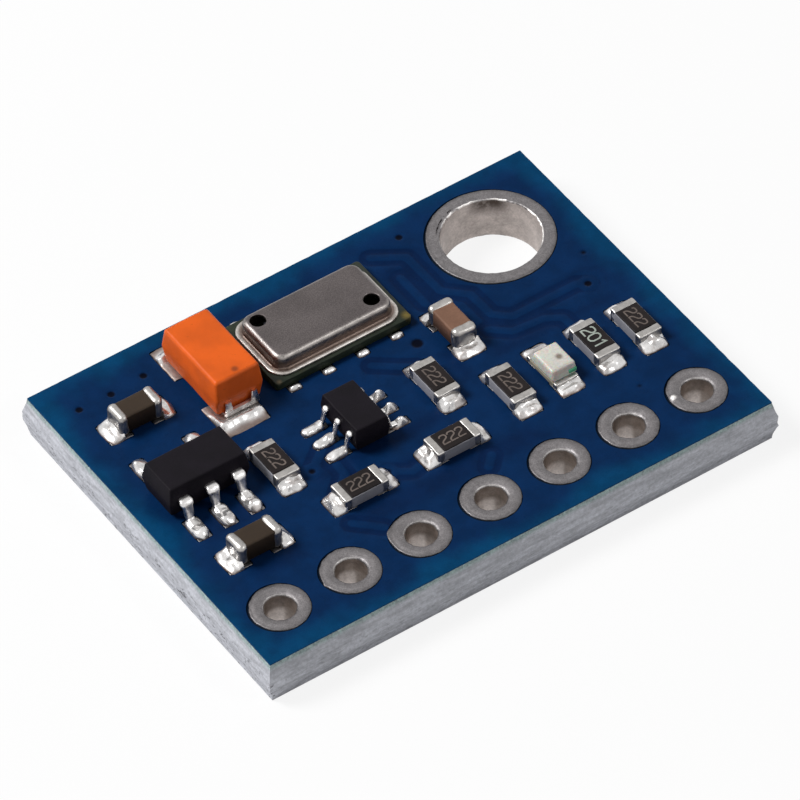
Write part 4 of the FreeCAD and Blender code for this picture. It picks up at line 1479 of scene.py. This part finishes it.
def make_tantalum():
    """The orange tantalum capacitor with its forked terminals."""
    x, y, _ = place_of("tantalum_case")
    place = (x, y, 90)
    low, high = span("tantalum_case")
    half_length, half_width = 1.58, 0.855
    case = rounded_block((-half_length, -half_width, low[2] - seat),
                         (half_length, half_width, high[2] - seat), 0.12, 5, 0.12)
    case = uneven(leaning(case, 0.75, 0.13, 0.06), 0.8, 0.016, 80)
    piece("tantalum_body", Form().add(case, place, seat), "orange", ["tantalum_case"],
          50)
    foot_line = rounded_line([(0.8, 0.05), (1.6, 0.05), (1.62, 0.28)], 0.05)
    prong_line = rounded_line([(1.59, 0.1), (1.64, 0.35), (1.60, 0.62)], 0.12)
    prong_off = 0.47
    joints = Form()
    for name, side in (("anode", 0), ("cathode", 180)):
        form = Form()
        form.add(turned(strip(foot_line, [1.18, 1.18], 0.1, 0.03), side), place, seat)
        for edge in (-1, 1):
            prong = shifted(strip(prong_line, [0.32, 0.26, 0.19], 0.11, 0.05), 0, edge * prong_off)
            form.add(turned(uneven(prong, 0.3, 0.02, 81 + edge), side), place, seat)
        node = "tantalum_%s_terminal" % name
        piece("tantalum_" + name, form, "lead", [node], 50)
        joint = heap(0.735, 2.235, 0.8, tantalum_joint, 90 + side, (64, 40), 0.08, lumpy=0.35)
        joints.add(turned(joint, side), tantalum_land_place, land_top)
    piece("tantalum_joints", joints, "solder", ["tantalum_solder"], 70)


def make_sensor():
    """The pressure sensor: small circuit board, drawn metal lid with two ports, and contacts."""
    x, y, _ = place_of("sensor_substrate")
    make_sensor_board(x, y)
    make_sensor_lid(x, y)
    for name in ("sensor_mems_die", "sensor_asic_die"):
        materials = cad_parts[name].data.materials
        materials.clear()
        materials.append(finish("silicon"))
    joints = Form()
    for k, step in enumerate(contact_steps):
        for side, reach, height in ((-90, 1.83, 0.12), (90, 1.70, 0.07)):
            joint = heap(1.56, reach, 0.22, heaped(height), 100 + k + side, (18, 18), 0.25, 0.25)
            joint = shifted(turned(joint, side), step * contact_pitch, 0)
            joints.add(joint, (x, y, 0), land_top)
    piece("sensor_joints", joints, "solder", ["sensor_solder"], 70)


def make_sensor_board(x, y):
    """The sensor's small circuit board, its edges a little broken and its faces flat."""
    low, high = span("sensor_substrate")
    half_length, half_width, corner = 2.5, 1.5, 0.13
    x_off, y_off = 0.07, -0.025
    section = [(0.02, low[2]), (0.0, low[2] + 0.02), (0.0, high[2] - 0.03),
               (0.012, high[2] - 0.012), (0.03, high[2])]
    layers = [ring(half_length - inset, half_width - inset, corner, z, 6, 40)
              for inset, z in section]
    points, faces = uneven(capped(layers), 0.17, 0.012, 95)
    count = len(layers[0])
    points[:count, 2] = low[2]
    points[-count:, 2] = high[2]
    form = Form().add((points, faces), (x + x_off, y + y_off, 0))
    piece("sensor_board", form, "substrate", ["sensor_substrate"])


def make_sensor_lid(x, y):
    """The drawn metal lid: a hollow shell with a flange, rounded shoulders and two ports."""
    low, high = span("sensor_lid")
    foot, top = low[2], high[2]
    x_off, y_off = 0.035, -0.04
    half_x, half_y = (high[:2] - low[:2]) / 2 - 0.17
    flange, corner, wall, edge = 0.225, 0.38, 0.1, size_of("lid_edge")
    lean = 0.01
    # How far out and how high: flange, hollow beside the wall, wall, and rounded shoulder
    section = [(0.21, foot), (flange, foot + 0.02), (flange, foot + 0.065), (0.205, foot + 0.09),
               (0.165, foot + 0.10), (0.085, foot + 0.092), (0.03, foot + 0.10),
               (0.005, foot + 0.13), (0.0, foot + 0.2), (-0.003, foot + 0.3), (-lean, top - edge)]
    shoulder_start = len(section) - 1
    for k in range(1, 9):
        angle = math.pi / 2 * k / 8
        section.append((-lean - edge * (1 - math.cos(angle)),
                        top - edge + edge * math.sin(angle)))
    outside = [ring(half_x + out, half_y + out, corner + out, z, 8, 10) for out, z in section]
    inside = [ring(half_x - wall, half_y - wall, corner - wall, z, 8, 10)
              for z in (foot, top - wall)]
    form = Form().add(band(outside)).add(band(inside)).add(band([inside[0], outside[0]]))
    radius, crease = 0.26, 0.022
    ports = [(-1.66 - x_off, 0.64 - y_off), (1.67 - x_off, -0.65 - y_off)]
    mouths = [circle(px, py, radius + crease, top, 36) for px, py in ports]
    necks = [circle(px, py, radius, top - crease, 36) for px, py in ports]
    ends = [circle(px, py, radius, top - wall, 36) for px, py in ports]
    grid = np.array([(gx, gy) for gx in np.arange(-1.95, 1.96, 0.15)
                     for gy in np.arange(-0.9, 0.91, 0.15)])
    free = clear_of(grid, outside[-1], 0.08, mouths, 0.06)
    form.add(sheet(outside[-1], mouths, list(grid[free])))
    form.add(sheet(inside[-1], ends))
    for port in zip(ends, necks, mouths):
        form.add(band(port))
    points = np.vstack(form.points)
    # Where the painted highlights go: a band along the shoulders and the flange's outer rim
    depth = area_depth(points[:, :2], outside[shoulder_start])
    on_top, on_flange = points[:, 2] > top - edge * 1.1, points[:, 2] < foot + 0.12
    shoulder = np.clip(1 - np.abs(depth - 0.045) / 0.09, 0, 1) * on_top
    rim = np.clip((-depth - 0.09) / 0.06, 0, 1) * on_flange
    placed = Form().add((points, form.faces), (x + x_off, y + y_off, 0))
    piece("sensor_lid_shell", placed, "lid", ["sensor_lid"], 42,
          marks={"worn": np.maximum(0.6 * shoulder, rim)})


def package(name, size, slope, lead, rows, pitch, seed):
    """A small moulded package with bent leads and their solder.

    A lead is given as its middle line, its widths along it and its thickness, and a row as the
    side that it is turned to, its steps, and its joints' start, end, half width and height.
    """
    place = place_of(name + "_body")
    low, high = span(name + "_body")
    half_x, half_y = size[0] / 2, size[1] / 2
    body = rounded_block((-half_x, -half_y, low[2]), (half_x, half_y, high[2]), 0.05, 3, 0.12)
    body = leaning(body, (low[2] + high[2]) / 2, slope, slope)
    form = Form().add(uneven(body, 0.5, 0.01, seed), place)
    piece(name + "_case", form, "black", [name + "_body"], 50)
    line, widths, thickness = lead
    line = rounded_line(line, thickness * 0.75, 6)
    leads, joints = Form(), Form()
    for side, steps, (inner, outer, half_width, height) in rows:
        for step in steps:
            seed += 1
            shape = uneven(strip(line, widths, thickness, thickness * 0.45), 0.4, 0.012, seed)
            leads.add(shifted(turned(shape, side), step * pitch, 0), place, seat)
            joint = heap(inner, outer, half_width, height, seed, (30, 22), 0.3, 0.25)
            joints.add(shifted(turned(joint, side), step * pitch, 0), place, land_top)
    piece(name + "_pins", leads, "lead", [name + "_leads"], 60)
    piece(name + "_joints", joints, "solder", [name + "_solder"], 70)


def make_regulator():
    """The voltage regulator with five bent leads."""
    lead = ([(0.65, 0.70), (0.97, 0.73), (1.10, 0.09), (1.45, 0.08)],
            [0.40, 0.43, 0.46, 0.44, 0.32, 0.26, 0.28, 0.34, 0.36], 0.20)
    joint = (0.98, 1.98, 0.27, two_lumps(0.25))
    rows = [(-90, three_leads, joint), (90, two_leads, joint)]
    package("regulator", (2.9, 1.6), 0.1, lead, rows, regulator_pitch, 120)


def make_shifter():
    """The level shifter with six bent leads."""
    lead = ([(0.42, 0.63), (0.665, 0.65), (0.80, 0.055), (1.02, 0.055)],
            [0.20, 0.22, 0.25, 0.23, 0.16, 0.15, 0.17, 0.20, 0.20], 0.14)
    rows = [(90, three_leads, (0.74, 1.53, 0.195, barred(0.19))),
            (-90, three_leads, (0.80, 1.50, 0.18, peaked(0.30, 0.62)))]
    package("level_shifter", (2.0, 1.25), 0.06, lead, rows, shifter_pitch, 150)


# Stage: lamps stand and aim in metres

def area_lamp(name, place, size, watts):
    """A square lamp that shines at the middle of the board."""
    data = bpy.data.lights.new(name, "AREA")
    data.shape = "SQUARE"
    data.size = size
    data.energy = watts
    lamp = bpy.data.objects.new(name, data)
    lamp.location = place
    lamp.rotation_euler = (-Vector(place)).to_track_quat("-Z", "Y").to_euler()
    bpy.context.scene.collection.objects.link(lamp)


def seen(nodes, links):
    """1 for what the camera sees directly, in metal or through glass, and 0 for soft light."""
    path = nodes.new("ShaderNodeLightPath")
    total = path.outputs["Is Camera Ray"]
    for kind in ("Is Glossy Ray", "Is Transmission Ray"):
        highest = nodes.new("ShaderNodeMath")
        highest.operation = "MAXIMUM"
        links.new(total, highest.inputs[0])
        links.new(path.outputs[kind], highest.inputs[1])
        total = highest.outputs[0]
    return total


def make_floor():
    """A pale floor that glows a little where it is seen, and keeps the object's shadow."""
    reach, level, glow_share = 0.45, -0.00001, 0.86
    corners = [(-reach, -reach), (reach, -reach), (reach, reach), (-reach, reach)]
    mesh = bpy.data.meshes.new("studio_floor")
    mesh.from_pydata([(x, y, level) for x, y in corners], [], [(0, 1, 2, 3)])
    floor = bpy.data.objects.new("studio_floor", mesh)
    bpy.context.scene.collection.objects.link(floor)
    made = Finish("floor_paper", Roughness=0.9, Specular_IOR_Level=0.0)
    made.paint(made.shade(colour_of("floor"), made.noise(0.02, 2.0), 0.995, 1.005))
    glow = made.nodes.new("ShaderNodeEmission")
    blend = made.nodes.new("ShaderNodeMixShader")
    made.links.new(made.product(seen(made.nodes, made.links), glow_share), blend.inputs[0])
    made.links.new(made.shader.outputs[0], blend.inputs[1])
    made.links.new(glow.outputs[0], blend.inputs[2])
    made.links.new(blend.outputs[0], made.nodes["Material Output"].inputs["Surface"])
    mesh.materials.append(made.material)


def make_surroundings():
    """White surroundings: bright where they are seen, faint as light on the object."""
    soft_light, seen_light = 0.16, 1.0
    world = bpy.data.worlds.new("studio_world")
    bpy.context.scene.world = world
    world.use_nodes = True
    nodes, links = world.node_tree.nodes, world.node_tree.links
    background = nodes["Background"]
    background.inputs["Color"].default_value = (1, 1, 1, 1)
    strength = nodes.new("ShaderNodeMapRange")
    strength.inputs["To Min"].default_value = soft_light
    strength.inputs["To Max"].default_value = seen_light
    links.new(seen(nodes, links), strength.inputs["Value"])
    links.new(strength.outputs[0], background.inputs["Strength"])


def make_camera():
    """The camera at the photograph's angle and distance."""
    camera = bpy.data.cameras.new("camera")
    camera.lens = 376.205
    camera.sensor_width = 36.0
    camera.clip_start = 0.01
    camera.clip_end = 5.0
    holder = bpy.data.objects.new("camera", camera)
    # Columns: the picture's right, its up, the way back to the camera, and the camera's place
    holder.matrix_world = Matrix((
        (0.82762, 0.42468, -0.36701, -0.093403),
        (-0.56027, 0.58573, -0.58567, -0.149137),
        (-0.03376, 0.69034, 0.72270, 0.185602),
        (0.0, 0.0, 0.0, 1.0),
    ))
    bpy.context.scene.collection.objects.link(holder)
    bpy.context.scene.camera = holder


def make_stage():
    """Floor, white surroundings, lamps and the camera at the photograph's angle."""
    make_floor()
    make_surroundings()
    area_lamp("key_lamp", (-0.145, 0.11, 0.215), 0.10, 0.70)
    area_lamp("fill_lamp", (0.12, -0.16, 0.18), 0.05, 0.09)
    make_camera()
    bpy.context.scene.view_settings.view_transform = "Standard"


# Operators and panel

class MODULE_OT_core(bpy.types.Operator):
    """Makes the board's glass fibre core with its scored and broken edges"""
    bl_idname = "module.core"
    bl_label = "Board core"
    bl_options = {"REGISTER", "UNDO"}

    def execute(self, context):
        make_core()
        return {"FINISHED"}


class MODULE_OT_mask(bpy.types.Operator):
    """Makes the blue film on top, open round every ring and land"""
    bl_idname = "module.mask"
    bl_label = "Mask on top"
    bl_options = {"REGISTER", "UNDO"}

    def execute(self, context):
        make_mask()
        return {"FINISHED"}


class MODULE_OT_underside(bpy.types.Operator):
    """Makes the blue film on the underside, open round the rings"""
    bl_idname = "module.underside"
    bl_label = "Mask on the underside"
    bl_options = {"REGISTER", "UNDO"}

    def execute(self, context):
        make_underside()
        return {"FINISHED"}


class MODULE_OT_lands(bpy.types.Operator):
    """Makes the tinned copper lands under all parts"""
    bl_idname = "module.lands"
    bl_label = "Lands"
    bl_options = {"REGISTER", "UNDO"}

    def execute(self, context):
        make_lands()
        return {"FINISHED"}


class MODULE_OT_header(bpy.types.Operator):
    """Makes the seven plated header holes with their domed tin rings"""
    bl_idname = "module.header"
    bl_label = "Header rings"
    bl_options = {"REGISTER", "UNDO"}

    def execute(self, context):
        make_header()
        return {"FINISHED"}


class MODULE_OT_mounting_ring(bpy.types.Operator):
    """Makes the large plated hole with its bare metal ring"""
    bl_idname = "module.mounting_ring"
    bl_label = "Mounting hole ring"
    bl_options = {"REGISTER", "UNDO"}

    def execute(self, context):
        make_mounting_ring()
        return {"FINISHED"}


class MODULE_OT_resistors(bpy.types.Operator):
    """Makes the seven chip resistors with their values and joints"""
    bl_idname = "module.resistors"
    bl_label = "Resistors"
    bl_options = {"REGISTER", "UNDO"}

    def execute(self, context):
        make_resistors()
        return {"FINISHED"}


class MODULE_OT_capacitors(bpy.types.Operator):
    """Makes the three chip capacitors with their caps and joints"""
    bl_idname = "module.capacitors"
    bl_label = "Chip capacitors"
    bl_options = {"REGISTER", "UNDO"}

    def execute(self, context):
        make_capacitors()
        return {"FINISHED"}


class MODULE_OT_light(bpy.types.Operator):
    """Makes the small light with its green mark and its joints"""
    bl_idname = "module.light"
    bl_label = "Light"
    bl_options = {"REGISTER", "UNDO"}

    def execute(self, context):
        make_light()
        return {"FINISHED"}


class MODULE_OT_tantalum(bpy.types.Operator):
    """Makes the orange tantalum capacitor with its forked terminals"""
    bl_idname = "module.tantalum"
    bl_label = "Tantalum capacitor"
    bl_options = {"REGISTER", "UNDO"}

    def execute(self, context):
        make_tantalum()
        return {"FINISHED"}


class MODULE_OT_sensor(bpy.types.Operator):
    """Makes the pressure sensor with its drawn metal lid and contacts"""
    bl_idname = "module.sensor"
    bl_label = "Pressure sensor"
    bl_options = {"REGISTER", "UNDO"}

    def execute(self, context):
        make_sensor()
        return {"FINISHED"}


class MODULE_OT_regulator(bpy.types.Operator):
    """Makes the voltage regulator with its five leads"""
    bl_idname = "module.regulator"
    bl_label = "Voltage regulator"
    bl_options = {"REGISTER", "UNDO"}

    def execute(self, context):
        make_regulator()
        return {"FINISHED"}


class MODULE_OT_shifter(bpy.types.Operator):
    """Makes the level shifter with its six leads"""
    bl_idname = "module.shifter"
    bl_label = "Level shifter"
    bl_options = {"REGISTER", "UNDO"}

    def execute(self, context):
        make_shifter()
        return {"FINISHED"}


class MODULE_OT_stage(bpy.types.Operator):
    """Makes the floor, the white surroundings, the lamps and the camera"""
    bl_idname = "module.stage"
    bl_label = "Studio stage"
    bl_options = {"REGISTER", "UNDO"}

    def execute(self, context):
        make_stage()
        return {"FINISHED"}


steps = [
    MODULE_OT_core,
    MODULE_OT_mask,
    MODULE_OT_underside,
    MODULE_OT_lands,
    MODULE_OT_header,
    MODULE_OT_mounting_ring,
    MODULE_OT_resistors,
    MODULE_OT_capacitors,
    MODULE_OT_light,
    MODULE_OT_tantalum,
    MODULE_OT_sensor,
    MODULE_OT_regulator,
    MODULE_OT_shifter,
    MODULE_OT_stage,
]


class MODULE_PT_panel(bpy.types.Panel):
    bl_label = "Pressure sensor module"
    bl_idname = "MODULE_PT_panel"
    bl_space_type = "VIEW_3D"
    bl_region_type = "UI"
    bl_category = "Module"

    def draw(self, context):
        for step in steps:
            self.layout.operator(step.bl_idname)
        for group in (context.scene.module_sizes, context.scene.module_colours):
            for name in group.bl_rna.properties.keys():
                if name not in ("rna_type", "name"):
                    self.layout.prop(group, name)


classes = [ModuleSizes, ModuleColours, *steps, MODULE_PT_panel]


def register():
    for one in classes:
        bpy.utils.register_class(one)
    bpy.types.Scene.module_sizes = bpy.props.PointerProperty(type=ModuleSizes)
    bpy.types.Scene.module_colours = bpy.props.PointerProperty(type=ModuleColours)


def unregister():
    del bpy.types.Scene.module_sizes
    del bpy.types.Scene.module_colours
    for one in reversed(classes):
        bpy.utils.unregister_class(one)


def main():
    register()
    for step in steps:
        group, name = step.bl_idname.split(".")
        getattr(getattr(bpy.ops, group), name)()


if __name__ == "__main__":
    main()
